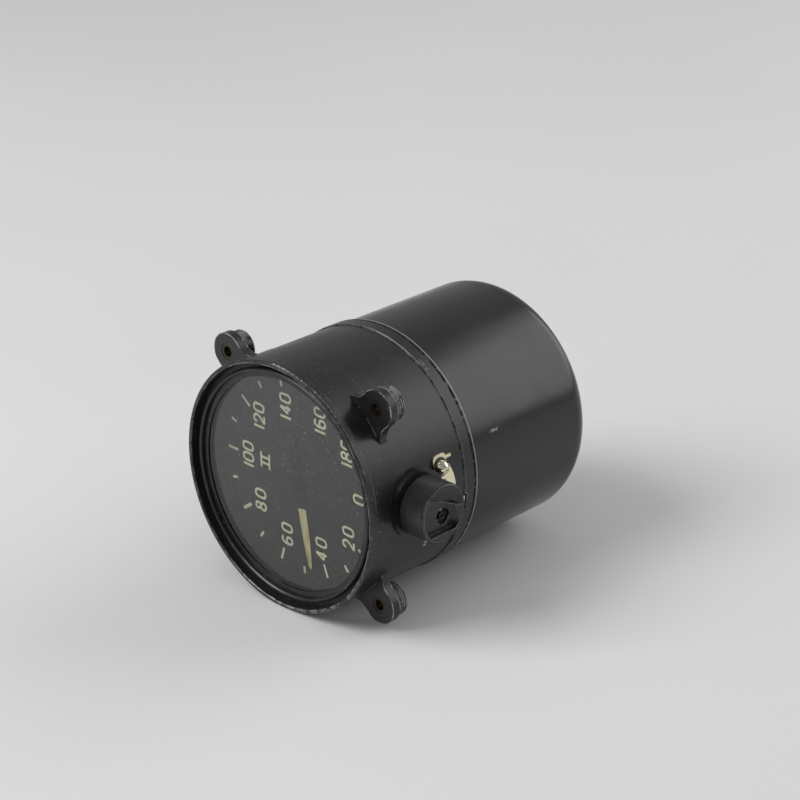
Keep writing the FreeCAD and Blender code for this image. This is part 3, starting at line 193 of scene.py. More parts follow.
def canEnamel():
    # The same enamel on a deep-drawn steel can: smoother metal under it, so a glossier, even skin with long
    # soft reflections, a few hairline rubs round the can and one short scratch down to the primer
    look = {"paint": "19191B", "rub": "38383A", "primer": "8F8C82", "patchMm": 14.0, "hairMm": 1.6, "peelMm": 1.4,
            "scratchAt": (36.8, 44.8, 12.0), "scratchSize": (3.0, 2.3, 0.75), "rubMm": 0.4, "chipMm": 3.0,
            "rubFrom": 0.55, "cornerMm": 35.0, "cornerHalf": 0.3, "corner": "030303", "drawn": (0.35, 3.5, 0.35)}
    material, tree, place = startFinish("canEnamel")
    patches = addNode(tree, "ShaderNodeTexNoise", None,
                      {"Vector": place, "Scale": 1 / (look["patchMm"] * mm), "Detail": 4.0, "Roughness": 0.55})
    drawn = addNode(tree, "ShaderNodeMapping", {"vector_type": "POINT"}, {"Vector": place, "Scale": look["drawn"]})
    hairs = addNode(tree, "ShaderNodeTexNoise", None,
                    {"Vector": drawn, "Scale": 1 / (look["hairMm"] * mm), "Detail": 3.0, "Roughness": 0.6})
    rubs = addNode(tree, "ShaderNodeMapRange", soft,
                   {"Value": hairs, "From Min": 0.64, "From Max": 0.74, "To Max": 0.5})
    skin = addNode(tree, "ShaderNodeMix", colours, {0: rubs, 6: hexColour(look["paint"]), 7: hexColour(look["rub"])})
    # painted shade: a black line in the corner behind the clamp ring, for the shadowed groove there
    along = addNode(tree, "ShaderNodeSeparateXYZ", None, {0: place}).outputs[1]
    corner = addNode(tree, "ShaderNodeMath", {"operation": "COMPARE"},
                     {0: along, 1: look["cornerMm"] * mm, 2: look["cornerHalf"] * mm})
    shadowLined = addNode(tree, "ShaderNodeMix", colours, {0: corner, 6: skin, 7: hexColour(look["corner"])})
    scratch = bareSpot(tree, place, look["scratchAt"], look["scratchSize"])
    rubbed = rubbedEdges(tree, place, look)
    bare = addNode(tree, "ShaderNodeMath", {"operation": "MAXIMUM"}, {0: scratch, 1: rubbed})
    colour = addNode(tree, "ShaderNodeMix", colours, {0: bare, 6: shadowLined, 7: hexColour(look["primer"])})
    sheen = addNode(tree, "ShaderNodeMapRange", None, {"Value": patches, "To Min": 0.12, "To Max": 0.32})
    gloss = addNode(tree, "ShaderNodeMath", {"operation": "MAXIMUM"}, {0: sheen, 1: corner})
    peel = addNode(tree, "ShaderNodeTexNoise", None,
                   {"Vector": place, "Scale": 1 / (look["peelMm"] * mm), "Detail": 2.0})
    bump = addNode(tree, "ShaderNodeBump", None, {"Height": peel, "Strength": 0.12, "Distance": 0.02 * mm})
    endFinish(tree, {"Base Color": colour, "Roughness": gloss, "Normal": bump})
    return material


def mouldedPhenolic():
    # Black phenolic moulding: dense, hard and even, dulled by fingers, its sharp edges worn to a grey line
    look = {"black": "0E0E0F", "dulled": "202021", "edge": "8C8B86", "rubMm": 0.32, "chipMm": 2.6, "rubFrom": 0.42,
            "patchMm": 2.2, "grainMm": 0.4}
    material, tree, place = startFinish("mouldedPhenolic")
    patches = addNode(tree, "ShaderNodeTexNoise", None,
                      {"Vector": place, "Scale": 1 / (look["patchMm"] * mm), "Detail": 4.0, "Roughness": 0.6})
    dull = addNode(tree, "ShaderNodeMapRange", soft, {"Value": patches, "From Min": 0.42, "From Max": 0.7})
    body = addNode(tree, "ShaderNodeMix", colours, {0: dull, 6: hexColour(look["black"]), 7: hexColour(look["dulled"])})
    rubbed = rubbedEdges(tree, place, look)
    colour = addNode(tree, "ShaderNodeMix", colours, {0: rubbed, 6: body, 7: hexColour(look["edge"])})
    gloss = addNode(tree, "ShaderNodeMapRange", None, {"Value": patches, "To Min": 0.2, "To Max": 0.42})
    grain = addNode(tree, "ShaderNodeTexNoise", None,
                    {"Vector": place, "Scale": 1 / (look["grainMm"] * mm), "Detail": 2.0})
    bump = addNode(tree, "ShaderNodeBump", None, {"Height": grain, "Strength": 0.2, "Distance": 0.02 * mm})
    endFinish(tree, {"Base Color": colour, "Roughness": gloss, "Normal": bump})
    return material


def knurledPhenolic(knurl):
    # The same moulding with a straight knurl: the ridges are polished grey by fingers and the valleys
    # between them stay black
    look = {"valley": "010101", "ridge": "474748", "patchMm": 3.0}
    material, tree, place = startFinish("knurledPhenolic")
    centred = addNode(tree, "ShaderNodeVectorMath", {"operation": "SUBTRACT"},
                      {0: place, 1: (0, knurl["y"] * mm, knurl["z"] * mm)})
    across = addNode(tree, "ShaderNodeVectorMath", {"operation": "MULTIPLY"}, {0: centred, 1: (0, 1, 1)})
    radius = addNode(tree, "ShaderNodeVectorMath", {"operation": "LENGTH"}, {0: across}).outputs["Value"]
    ridge = addNode(tree, "ShaderNodeMapRange", soft,
                    {"Value": radius, "From Min": (knurl["valley"] + 0.03) * mm, "From Max": knurl["peak"] * mm})
    patches = addNode(tree, "ShaderNodeTexNoise", None,
                      {"Vector": place, "Scale": 1 / (look["patchMm"] * mm), "Detail": 3.0, "Roughness": 0.6})
    worn = addNode(tree, "ShaderNodeMath", {"operation": "MULTIPLY"}, {0: ridge, 1: patches})
    colour = addNode(tree, "ShaderNodeMix", colours,
                     {0: worn, 6: hexColour(look["valley"]), 7: hexColour(look["ridge"])})
    gloss = addNode(tree, "ShaderNodeMapRange", None, {"Value": ridge, "To Min": 0.9, "To Max": 0.42})
    endFinish(tree, {"Base Color": colour, "Roughness": gloss})
    return material


def dialEnamel(name, paint, faded, dustShare, specular):
    # Matt black dial paint: flat, a little faded, with dust settled on it behind the glass, drawn coarser
    # than real dust so that it shows
    look = {"dust": "B5B3A8", "patchMm": 12.0, "dustMm": 0.62, "grainMm": 0.25}
    material, tree, place = startFinish(name)
    patches = addNode(tree, "ShaderNodeTexNoise", None,
                      {"Vector": place, "Scale": 1 / (look["patchMm"] * mm), "Detail": 4.0, "Roughness": 0.6})
    flat = addNode(tree, "ShaderNodeMix", colours, {0: patches, 6: hexColour(paint), 7: hexColour(faded)})
    grains = addNode(tree, "ShaderNodeTexNoise", None,
                     {"Vector": place, "Scale": 1 / (look["dustMm"] * mm), "Detail": 1.0})
    dust = addNode(tree, "ShaderNodeMapRange", soft,
                   {"Value": grains, "From Min": 0.665, "From Max": 0.73, "To Max": dustShare})
    colour = addNode(tree, "ShaderNodeMix", colours, {0: dust, 6: flat, 7: hexColour(look["dust"])})
    gloss = addNode(tree, "ShaderNodeMapRange", None, {"Value": patches, "To Min": 0.62, "To Max": 0.82})
    grain = addNode(tree, "ShaderNodeTexNoise", None,
                    {"Vector": place, "Scale": 1 / (look["grainMm"] * mm), "Detail": 2.0})
    bump = addNode(tree, "ShaderNodeBump", None, {"Height": grain, "Strength": 0.2, "Distance": 0.015 * mm})
    endFinish(tree, {"Base Color": colour, "Roughness": gloss, "Normal": bump, "Specular IOR Level": specular})
    return material


def luminousPaint(name, cream, browned, drawn):
    # Luminous compound: a thick cream paint, powdery and chalky, browned and a little uneven with age
    look = {"patchMm": 1.3, "grainMm": 0.2}
    material, tree, place = startFinish(name)
    laid = addNode(tree, "ShaderNodeMapping", {"vector_type": "POINT"}, {"Vector": place, "Scale": drawn})
    patches = addNode(tree, "ShaderNodeTexNoise", None,
                      {"Vector": laid, "Scale": 1 / (look["patchMm"] * mm), "Detail": 4.0, "Roughness": 0.65})
    aged = addNode(tree, "ShaderNodeMapRange", soft, {"Value": patches, "From Min": 0.45, "From Max": 0.75})
    colour = addNode(tree, "ShaderNodeMix", colours, {0: aged, 6: hexColour(cream), 7: hexColour(browned)})
    gloss = addNode(tree, "ShaderNodeMapRange", None, {"Value": patches, "To Min": 0.7, "To Max": 0.9})
    grain = addNode(tree, "ShaderNodeTexNoise", None,
                    {"Vector": place, "Scale": 1 / (look["grainMm"] * mm), "Detail": 2.0})
    bump = addNode(tree, "ShaderNodeBump", None, {"Height": grain, "Strength": 0.3, "Distance": 0.02 * mm})
    endFinish(tree, {"Base Color": colour, "Roughness": gloss, "Normal": bump})
    return material


def windowGlass():
    # Plate glass, 2 mm thick: clear, ground and polished flat, with the lightest haze of dust on it
    look = {"tint": "F6F8F5", "hazeMm": 6, "haze": 0.03, "index": 1.5}
    material, tree, place = startFinish("windowGlass")
    haze = addNode(tree, "ShaderNodeTexNoise", None,
                   {"Vector": place, "Scale": 1 / (look["hazeMm"] * mm), "Detail": 4.0})
    film = addNode(tree, "ShaderNodeMapRange", soft,
                   {"Value": haze, "From Min": 0.45, "From Max": 0.75, "To Max": look["haze"]})
    endFinish(tree, {"Base Color": hexColour(look["tint"]), "Roughness": film, "IOR": look["index"],
                     "Transmission Weight": 1.0})
    return material


def platedMetal(name, clean, tarnished, roughness, grainMm, drawn=(1, 1, 1), metallic=1.0):
    # A bare or plated metal: its clean colour, the colour where it has dulled, and its machining marks
    patchMm = 3
    material, tree, place = startFinish(name)
    patches = addNode(tree, "ShaderNodeTexNoise", None,
                      {"Vector": place, "Scale": 1 / (patchMm * mm), "Detail": 4.0, "Roughness": 0.6})
    dull = addNode(tree, "ShaderNodeMapRange", soft, {"Value": patches, "From Min": 0.4, "From Max": 0.75})
    colour = addNode(tree, "ShaderNodeMix", colours, {0: dull, 6: hexColour(clean), 7: hexColour(tarnished)})
    gloss = addNode(tree, "ShaderNodeMapRange", None,
                    {"Value": patches, "To Min": roughness - 0.1, "To Max": roughness + 0.14})
    marked = addNode(tree, "ShaderNodeMapping", {"vector_type": "POINT"}, {"Vector": place, "Scale": drawn})
    marks = addNode(tree, "ShaderNodeTexNoise", None, {"Vector": marked, "Scale": 1 / (grainMm * mm), "Detail": 2.0})
    bump = addNode(tree, "ShaderNodeBump", None, {"Height": marks, "Strength": 0.15, "Distance": 0.02 * mm})
    endFinish(tree, {"Base Color": colour, "Metallic": metallic, "Roughness": gloss, "Normal": bump})
    return material


def solidBody(name, main, second, roughness, grainMm):
    # A plastic, rubber, laminate or stone part: two near colours in a grain, and a surface to match
    material, tree, place = startFinish(name)
    grain = addNode(tree, "ShaderNodeTexNoise", None,
                    {"Vector": place, "Scale": 1 / (grainMm * mm), "Detail": 4.0, "Roughness": 0.6})
    share = addNode(tree, "ShaderNodeMapRange", soft, {"Value": grain, "From Min": 0.35, "From Max": 0.7})
    colour = addNode(tree, "ShaderNodeMix", colours, {0: share, 6: hexColour(main), 7: hexColour(second)})
    gloss = addNode(tree, "ShaderNodeMapRange", None,
                    {"Value": grain, "To Min": roughness - 0.1, "To Max": roughness + 0.12})
    bump = addNode(tree, "ShaderNodeBump", None, {"Height": grain, "Strength": 0.3, "Distance": 0.02 * mm})
    endFinish(tree, {"Base Color": colour, "Roughness": gloss, "Normal": bump})
    return material


def threadedBush():
    # Lug bushes: turned brass blacked with the case, bright again only on the worn thread inside the hole
    look = {"blacked": "161616", "edge": "C9C6BC", "brass": "6E6149", "threadDark": "0D0B09", "lugMm": 31.82,
            "insertMm": 2.05, "pitchMm": 0.7, "rubMm": 0.35, "chipMm": 3.0, "rubFrom": 0.44, "lugBack": 3.0,
            "thinned": "3C3C3A", "patchMm": 1.2}
    material, tree, place = startFinish("threadedBush")
    folded = addNode(tree, "ShaderNodeVectorMath", {"operation": "ABSOLUTE"}, {0: place})
    lug = look["lugMm"] * mm
    centred = addNode(tree, "ShaderNodeVectorMath", {"operation": "SUBTRACT"}, {0: folded, 1: (lug, 0, lug)})
    across = addNode(tree, "ShaderNodeVectorMath", {"operation": "MULTIPLY"}, {0: centred, 1: (1, 0, 1)})
    radius = addNode(tree, "ShaderNodeVectorMath", {"operation": "LENGTH"}, {0: across}).outputs["Value"]
    insert = addNode(tree, "ShaderNodeMath", {"operation": "LESS_THAN"}, {0: radius, 1: look["insertMm"] * mm})
    # the thread drawn as bands along the hole, dark and brass in turn, one pair to a pitch
    turns = addNode(tree, "ShaderNodeTexWave", {"wave_type": "BANDS", "bands_direction": "Y"},
                    {"Vector": place, "Scale": math.pi / 10 / (look["pitchMm"] * mm), "Distortion": 0.4})
    thread = addNode(tree, "ShaderNodeMix", colours,
                     {0: turns, 6: hexColour(look["threadDark"]), 7: hexColour(look["brass"])})
    # only the flanges behind the lugs are knocked about
    lengths = addNode(tree, "ShaderNodeSeparateXYZ", None, {0: place})
    behind = addNode(tree, "ShaderNodeMath", {"operation": "GREATER_THAN"},
                     {0: lengths.outputs[1], 1: look["lugBack"] * mm})
    edges = rubbedEdges(tree, place, look)
    rubbed = addNode(tree, "ShaderNodeMath", {"operation": "MULTIPLY"}, {0: edges, 1: behind})
    # on the knob's side the blacking is worn thin all over
    knobSide = addNode(tree, "ShaderNodeMath", {"operation": "GREATER_THAN"}, {0: lengths.outputs[0], 1: 0.0})
    thinned = addNode(tree, "ShaderNodeMath", {"operation": "MULTIPLY"}, {0: knobSide, 1: behind})
    blacking = addNode(tree, "ShaderNodeMix", colours,
                       {0: thinned, 6: hexColour(look["blacked"]), 7: hexColour(look["thinned"])})
    outside = addNode(tree, "ShaderNodeMix", colours, {0: rubbed, 6: blacking, 7: hexColour(look["edge"])})
    colour = addNode(tree, "ShaderNodeMix", colours, {0: insert, 6: outside, 7: thread})
    patches = addNode(tree, "ShaderNodeTexNoise", None,
                      {"Vector": place, "Scale": 1 / (look["patchMm"] * mm), "Detail": 4.0})
    gloss = addNode(tree, "ShaderNodeMapRange", None, {"Value": patches, "To Min": 0.28, "To Max": 0.5})
    endFinish(tree, {"Base Color": colour, "Metallic": insert, "Roughness": gloss})
    return material


def keeperNickel():
    # Nickel plate on the thin sheet keeper. Under and round the screw's head the ear is coloured dark grey, painted
    # shade and a painted dark reflection;
    # the tongue and every cut edge keep the bright, yellowish nickel
    look = {"bright": "E8E1C2", "dulled": "4A473E", "earY": 19.5, "earZ": 9.1, "earMm": 2.7, "rubMm": 0.25,
            "chipMm": 4.0, "rubFrom": 0.3, "patchMm": 1.5}
    material, tree, place = startFinish("keeperNickel")
    centred = addNode(tree, "ShaderNodeVectorMath", {"operation": "SUBTRACT"},
                      {0: place, 1: (0, look["earY"] * mm, look["earZ"] * mm)})
    across = addNode(tree, "ShaderNodeVectorMath", {"operation": "MULTIPLY"}, {0: centred, 1: (0, 1, 1)})
    radius = addNode(tree, "ShaderNodeVectorMath", {"operation": "LENGTH"}, {0: across}).outputs["Value"]
    outside = addNode(tree, "ShaderNodeMapRange", soft,
                      {"Value": radius, "From Min": look["earMm"] * mm, "From Max": (look["earMm"] + 0.5) * mm})
    edges = rubbedEdges(tree, place, look)
    bright = addNode(tree, "ShaderNodeMath", {"operation": "MAXIMUM"}, {0: outside, 1: edges})
    # painted shade and dark reflection: inside the ear's radius the plate takes the dark grey, except on its edges
    colour = addNode(tree, "ShaderNodeMix", colours,
                     {0: bright, 6: hexColour(look["dulled"]), 7: hexColour(look["bright"])})
    patches = addNode(tree, "ShaderNodeTexNoise", None,
                      {"Vector": place, "Scale": 1 / (look["patchMm"] * mm), "Detail": 4.0})
    gloss = addNode(tree, "ShaderNodeMapRange", None, {"Value": patches, "To Min": 0.18, "To Max": 0.4})
    endFinish(tree, {"Base Color": colour, "Metallic": 1.0, "Roughness": gloss})
    return material


caseChip = {"at": (36.2, 15.5, -15.4), "size": (2.0, 0.9, 1.3), "share": 0.5}
ringMarks = {"residueAt": (21.6, 30.4, 33.0), "residueSize": (3.2, 0.9, 2.6), "residue": "62604F", "scuffMm": 1.6,
             "bandMm": 33.6, "bandHalf": 0.5, "grooveShade": "040404", "lipRubAndHighlight": "85857E", "lipShare": 0.8}
finishes = {
    "case_paint": stoveEnamel("stoveEnamel", "18181A", rubMm=0.65, rubFrom=0.47, chip=caseChip),
    "can_paint": canEnamel(),
    "knob_black": mouldedPhenolic(),
    "retainer_black": stoveEnamel("ringEnamel", "0F0F10", rubMm=0.3, rubFrom=0.64),
    "dial_black": dialEnamel("dialEnamel", "171714", "20201C", dustShare=0.9, specular=0.12),
    "pointer_black": dialEnamel("pointerEnamel", "040404", "080808", dustShare=0.2, specular=0.1),
    "cover_glass": windowGlass(),
    # moulded rubber: nearly black and matt
    "rubber": solidBody("nitrileRubber", "151515", "1E1E1D", roughness=0.72, grainMm=0.5),
    # turned bar and its plating: tight bright reflections over fine tool marks, dulled in patches
    "brass": platedMetal("turnedBrass", "B08D4A", "80652F", roughness=0.3, grainMm=0.3),
    "blackened_brass": platedMetal("blackenedBrass", "2A241B", "1A1714", roughness=0.42, grainMm=0.4),
    "nickel": platedMetal("nickelPlate", "DAD5BD", "9C957A", roughness=0.26, grainMm=0.35),
    "steel": platedMetal("turnedSteel", "9B9A97", "6F6E6B", roughness=0.32, grainMm=0.25),
    # cast and ground magnet alloy: grey, with a coarser grain
    "magnet_steel": platedMetal("magnetSteel", "6C6A67", "4B4A49", roughness=0.38, grainMm=0.6),
    # stamped laminations and wound wire: lines between the sheets and along the turns
    "core_iron": platedMetal("laminatedIron", "77736E", "55514C", roughness=0.45, grainMm=0.35, drawn=(0.2, 6, 0.2)),
    "winding": platedMetal("enamelledWire", "8E4A22", "5C2E16", roughness=0.3, grainMm=0.25, drawn=(1, 5, 1),
                           metallic=0.7),
    # spun sheet copper: a warm, even shine
    "copper": platedMetal("spunCopper", "B5653F", "7E452C", roughness=0.28, grainMm=0.3),
    # pressed laminate, brown and satin, and the polished synthetic stone of the bearings
    "insulator": solidBody("phenolicLaminate", "5A3320", "6E4229", roughness=0.45, grainMm=0.8),
    "ruby": solidBody("syntheticRuby", "6E1026", "86182F", roughness=0.16, grainMm=2.0),
}
# nodes whose real finish differs from the rest of their slot
ownFinish = {
    "lug_bushes": threadedBush(),
    "knob_boss": stoveEnamel("bossEnamel", "101011", rubMm=0.3, rubFrom=0.62),
    "clamp_ring": stoveEnamel("clampEnamel", "18181A", rubMm=0.95, rubFrom=0.435, ring=ringMarks),
    "keeper_plate": keeperNickel(),
    "keeper_screw": platedMetal("polishedNickel", "DDD9C8", "8F8A78", roughness=0.16, grainMm=0.5),
    "knob_screw": platedMetal("blackedSteel", "3B3A38", "1B1A19", roughness=0.3, grainMm=0.3),
    # painted shade: the bearing is coloured near black for the shade inside the dial's centre hole
    "front_bearing": platedMetal("shadedBearing", "1C1915", "12100E", roughness=0.5, grainMm=0.4),
}
for name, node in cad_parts.items():
    for materialSlot in node.material_slots:
        key = materialSlot.material.name.split(".")[0]
        if key not in finishes:
            print("no finish for", name, key)
        materialSlot.material = ownFinish.get(name) or finishes.get(key)
print("finishes on every node")


def deselectAll():
    for item in bpy.context.selected_objects:
        item.select_set(False)


def startPiece(name):
    piece = bpy.context.object
    piece.name = name
    piece.data.name = name
    return piece


def selectWhere(piece, accepts):
    # goes to edit mode with the points that are accepted by place, and the edges and faces between them
    bpy.ops.object.mode_set(mode="OBJECT")
    bpy.context.tool_settings.mesh_select_mode = (True, False, False)
    for vertex in piece.data.vertices:
        vertex.select = accepts(vertex.co)
    for part in (*piece.data.edges, *piece.data.polygons):
        part.select = all(piece.data.vertices[i].select for i in part.vertices)
    bpy.ops.object.mode_set(mode="EDIT")


def thicken(height):
    # the flat outline becomes a closed body, as thick as the paint or the sheet
    bpy.ops.mesh.select_all(action="SELECT")
    bpy.ops.mesh.extrude_region_move(TRANSFORM_OT_translate={"value": (0, 0, height)})
    bpy.ops.mesh.select_all(action="SELECT")
    bpy.ops.mesh.normals_make_consistent(inside=False)
    bpy.ops.object.mode_set(mode="OBJECT")


def finishPiece(piece, body, material):
    # place, turn and scale go into the mesh, then the piece takes its body and its finish
    deselectAll()
    piece.select_set(True)
    bpy.context.view_layer.objects.active = piece
    bpy.ops.object.transform_apply(location=True, rotation=True, scale=True)
    piece.data.materials.clear()
    piece.data.materials.append(material)
    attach(piece, body)


def copyPiece(piece):
    # a copy with a mesh of its own
    twin = piece.copy()
    twin.data = piece.data.copy()
    bpy.context.scene.collection.objects.link(twin)
    return twin


def joinPieces(pieces, name):
    deselectAll()
    for piece in pieces:
        piece.select_set(True)
    bpy.context.view_layer.objects.active = pieces[0]
    bpy.ops.object.join()
    return startPiece(name)


dial = {
    "faceY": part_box("dial_plate")[0][1] / mm, "paintMm": 0.06, "perUnit": 1.87, "topTurn": 1.7,
    "shorter": (20, 140, 160, 180, 0), "tickOuter": 31.8, "longInner": 27.4, "shorterInner": 28.9,
    "shortInner": 29.4, "longWidth": 0.84, "shortWidth": 0.9, "boldAt": 80, "boldWidth": 1.15,
    "cornerMm": 0.2, "penMm": 0.84, "digitHigh": 4.5, "digitWide": 2.5, "lean": 0.03, "pitch": 4.25,
    "pitchOfThree": 3.6, "afterOne": 2.6, "halfDigit": 1.6, "halfOne": 0.4,
    "numberAt": {0: (1.1, -25.2), 20: (-13.1, -20.4), 40: (-20.9, -8.6), 60: (-21.0, 6.4), 80: (-13.15, 17.9),
                 100: (1.0, 22.8), 120: (15.5, 17.3), 140: (22.15, 5.4), 160: (21.9, -9.4), 180: (14.7, -20.4)},
    "sign": {"right": 1.0, "up": 15.2, "high": 5.0, "wide": 4.6, "pen": 0.78},
}
scalePaint = luminousPaint("luminousPaint", "FCF8D8", "E6DFB4", drawn=(1, 1, 1))
# flat work is drawn with right, up and out as X, Y and Z: on the dial right is +Z, up is -X, out is -Y
onDial = Matrix(((0, -1, 0), (0, 0, -1), (1, 0, 0))).to_4x4()
dialFace = Matrix.Translation((0, dial["faceY"] * mm, 0)) @ onDial


def dialAngle(value):
    # counted from the dial's top, which 100 stands a little past
    return math.radians((value - 100) * dial["perUnit"] + dial["topTurn"])


def tickSize(value):
    isLong = value % 20 == 0
    inner = dial["shorterInner"] if value in dial["shorter"] else dial["longInner"] if isLong else dial["shortInner"]
    width = dial["boldWidth"] if value == dial["boldAt"] else dial["longWidth"] if isLong else dial["shortWidth"]
    return inner, width


def dialTick(inner, width):
    # a painted stroke: a plane drawn out to the stroke's length, its corners rounded, then given thickness
    deselectAll()
    bpy.ops.mesh.primitive_plane_add(size=width * mm, location=(0, 0, 0))
    piece = startPiece("tick")
    bpy.ops.object.mode_set(mode="EDIT")
    bpy.ops.mesh.select_all(action="SELECT")
    bpy.ops.transform.resize(value=(1, (dial["tickOuter"] - inner) / width, 1))
    bpy.ops.transform.translate(value=(0, (dial["tickOuter"] + inner) / 2 * mm, 0))
    bpy.ops.mesh.bevel(offset=dial["cornerMm"] * mm, segments=3, affect="VERTICES")
    thicken(dial["paintMm"] * mm)
    return piece


# pen strokes of each figure, in shares of its half width and half height: a loop closes, a curve and a line don't
figures = {
    "0": [("loop", (0, 1), (0.78, 0.86), (1, 0.45), (1, -0.45), (0.78, -0.86), (0, -1), (-0.78, -0.86),
           (-1, -0.45), (-1, 0.45), (-0.78, 0.86))],
    "1": [("line", (0, 1), (0, -1))],
    "2": [("curve", (-0.92, 0.42), (-0.82, 0.84), (-0.2, 1.02), (0.5, 0.95), (0.95, 0.6), (0.85, 0.12),
           (0.3, -0.32), (-0.45, -0.68), (-0.95, -1)), ("line", (-0.98, -1), (0.95, -1))],
    "4": [("line", (0.35, -1), (0.35, 1)), ("line", (0.35, 1), (-0.98, -0.42)),
          ("line", (-0.98, -0.42), (0.98, -0.42))],
    "6": [("curve", (0.78, 0.72), (0.4, 1.0), (-0.35, 0.98), (-0.88, 0.5), (-0.98, -0.15), (-0.9, -0.6)),
          ("loop", (0, 0.16), (0.72, 0.04), (0.96, -0.4), (0.72, -0.86), (0, -1), (-0.72, -0.86), (-0.96, -0.4),
           (-0.72, 0.04))],
    "8": [("loop", (0, 1), (0.62, 0.9), (0.84, 0.52), (0.6, 0.16), (0, 0.06), (-0.6, 0.16), (-0.84, 0.52),
           (-0.62, 0.9)),
          ("loop", (0, 0.06), (0.7, -0.06), (0.98, -0.48), (0.72, -0.88), (0, -1), (-0.72, -0.88), (-0.98, -0.48),
           (-0.7, -0.06))],
    "sign": [("line", (-1.1, 0.72), (1.1, 0.72)), ("line", (-1.1, -0.72), (1.1, -0.72)),
             ("line", (-0.42, 0.72), (-0.42, -0.72)), ("line", (0.42, 0.72), (0.42, -0.72))],
}


def penFigure(name, figure, high, wide, pen):
    # one figure, drawn about the origin with a round pen that leaves a low ridge of paint
    line = bpy.data.curves.new(name, "CURVE")
    line.dimensions = "3D"
    line.bevel_depth = pen / 2 * mm
    line.bevel_resolution = 2
    line.resolution_u = 6
    line.use_fill_caps = True
    for kind, *points in figures[figure]:
        spline = line.splines.new("POLY" if kind == "line" else "NURBS")
        spline.points.add(len(points) - 1)
        for point, (x, y) in zip(spline.points, points):
            point.co = ((x * wide / 2 + y * high / 2 * dial["lean"]) * mm, y * high / 2 * mm, 0, 1)
        if kind != "line":
            spline.order_u = 3
            spline.use_endpoint_u = kind == "curve"
            spline.use_cyclic_u = kind == "loop"
    piece = bpy.data.objects.new(name, line)
    bpy.context.scene.collection.objects.link(piece)
    deselectAll()
    piece.select_set(True)
    bpy.context.view_layer.objects.active = piece
    bpy.ops.object.convert(target="MESH")
    piece = startPiece(name)
    piece.scale = (1, 1, dial["paintMm"] / (pen / 2))
    bpy.ops.object.transform_apply(location=False, rotation=False, scale=True)
    return piece


def setOnDial(piece, right, up):
    piece.matrix_world = dialFace @ Matrix.Translation((right * mm, up * mm, 0))
    return piece


def dialNumber(value):
    # figures side by side, the narrow 1 nearer to its neighbours, and the number centred on its place
    text = str(value)
    pitch = dial["pitchOfThree"] if len(text) == 3 else dial["pitch"]
    places = [0.0]
    for figure in text[:-1]:
        places.append(places[-1] + (dial["afterOne"] if figure == "1" else pitch))
    right, up = dial["numberAt"][value]
    start = places[0] - dial["halfOne" if text[0] == "1" else "halfDigit"]
    middle = (start + places[-1] + dial["halfDigit"]) / 2
    return [setOnDial(copyPiece(digits[figure]), right + place - middle, up) for figure, place in zip(text, places)]


# each kind of stroke and each digit is modelled once; the scale is made of copies
strokes = {size: dialTick(*size) for size in sorted({tickSize(v) for v in range(0, 181, 10)})}
digits = {figure: penFigure("digit", figure, dial["digitHigh"], dial["digitWide"], dial["penMm"])
          for figure in figures if figure.isdigit()}
marks = []
for value in range(0, 181, 10):
    marks.append(copyPiece(strokes[tickSize(value)]))
    marks[-1].matrix_world = dialFace @ Matrix.Rotation(-dialAngle(value), 4, "Z")
ticks = joinPieces(marks, "scaleTicks")
finishPiece(ticks, "housing", scalePaint)
numbers = joinPieces([piece for v in range(0, 181, 20) for piece in dialNumber(v)], "scaleNumbers")
finishPiece(numbers, "housing", scalePaint)
for piece in (*strokes.values(), *digits.values()):
    bpy.data.objects.remove(piece)
sign = dial["sign"]
tankNumber = penFigure("tankNumber", "sign", sign["high"], sign["wide"], sign["pen"])
setOnDial(tankNumber, sign["right"], sign["up"])
finishPiece(tankNumber, "housing", scalePaint)


# an eyelet closes the plate's clearance hole round the staff
eyelet = {"outer": 3.4, "inner": 1.15, "thick": 0.04}
deselectAll()
bpy.ops.mesh.primitive_circle_add(vertices=72, radius=eyelet["outer"] * mm, fill_type="NGON", location=(0, 0, 0))
dialEyelet = startPiece("dialEyelet")
bpy.ops.object.mode_set(mode="EDIT")
bpy.ops.mesh.select_all(action="SELECT")
bpy.ops.mesh.inset(thickness=(eyelet["outer"] - eyelet["inner"]) * mm)
bpy.ops.mesh.delete(type="FACE")
thicken(eyelet["thick"] * mm)
dialEyelet.matrix_world = dialFace
finishPiece(dialEyelet, "housing", finishes["dial_black"])
print("dial scale painted")


# the strip on the pointer: a short plane at the root, its far edge drawn on from station to station
strip = {"reads": 46, "liftMm": 0.07,
         "halfWidths": ((9.6, 1.66), (16.0, 1.52), (21.0, 1.36), (24.6, 1.1), (26.8, 0.82), (28.2, 0.6), (28.9, 0.36),
                        (29.15, 0.16))}
stripPaint = luminousPaint("browningPaint", "EADFA6", "A98F50", drawn=(1, 1, 0.16))
(rootR, rootHalf), (lastR, lastHalf) = strip["halfWidths"][:2]
deselectAll()
bpy.ops.mesh.primitive_plane_add(size=2 * rootHalf * mm, location=(0, 0, 0))
pointerStrip = startPiece("pointerStrip")
bpy.ops.object.mode_set(mode="EDIT")
bpy.ops.mesh.select_all(action="SELECT")
bpy.ops.transform.resize(value=(1, (lastR - rootR) / (2 * rootHalf), 1))
bpy.ops.transform.translate(value=(0, (lastR + rootR) / 2 * mm, 0))
selectWhere(pointerStrip, lambda point: point.y > (lastR - 0.01) * mm)
bpy.ops.transform.resize(value=(lastHalf / rootHalf, 1, 1))
for radius, half in strip["halfWidths"][2:]:
    selectWhere(pointerStrip, lambda point: point.y > (lastR - 0.01) * mm)
    bpy.ops.mesh.extrude_region_move(TRANSFORM_OT_translate={"value": (0, (radius - lastR) * mm, 0)})
    bpy.ops.transform.resize(value=(half / lastHalf, 1, 1))
    lastR, lastHalf = radius, half
thicken(strip["liftMm"] * mm)
pointerFace = Matrix.Translation((0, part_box("pointer")[0][1], 0)) @ onDial
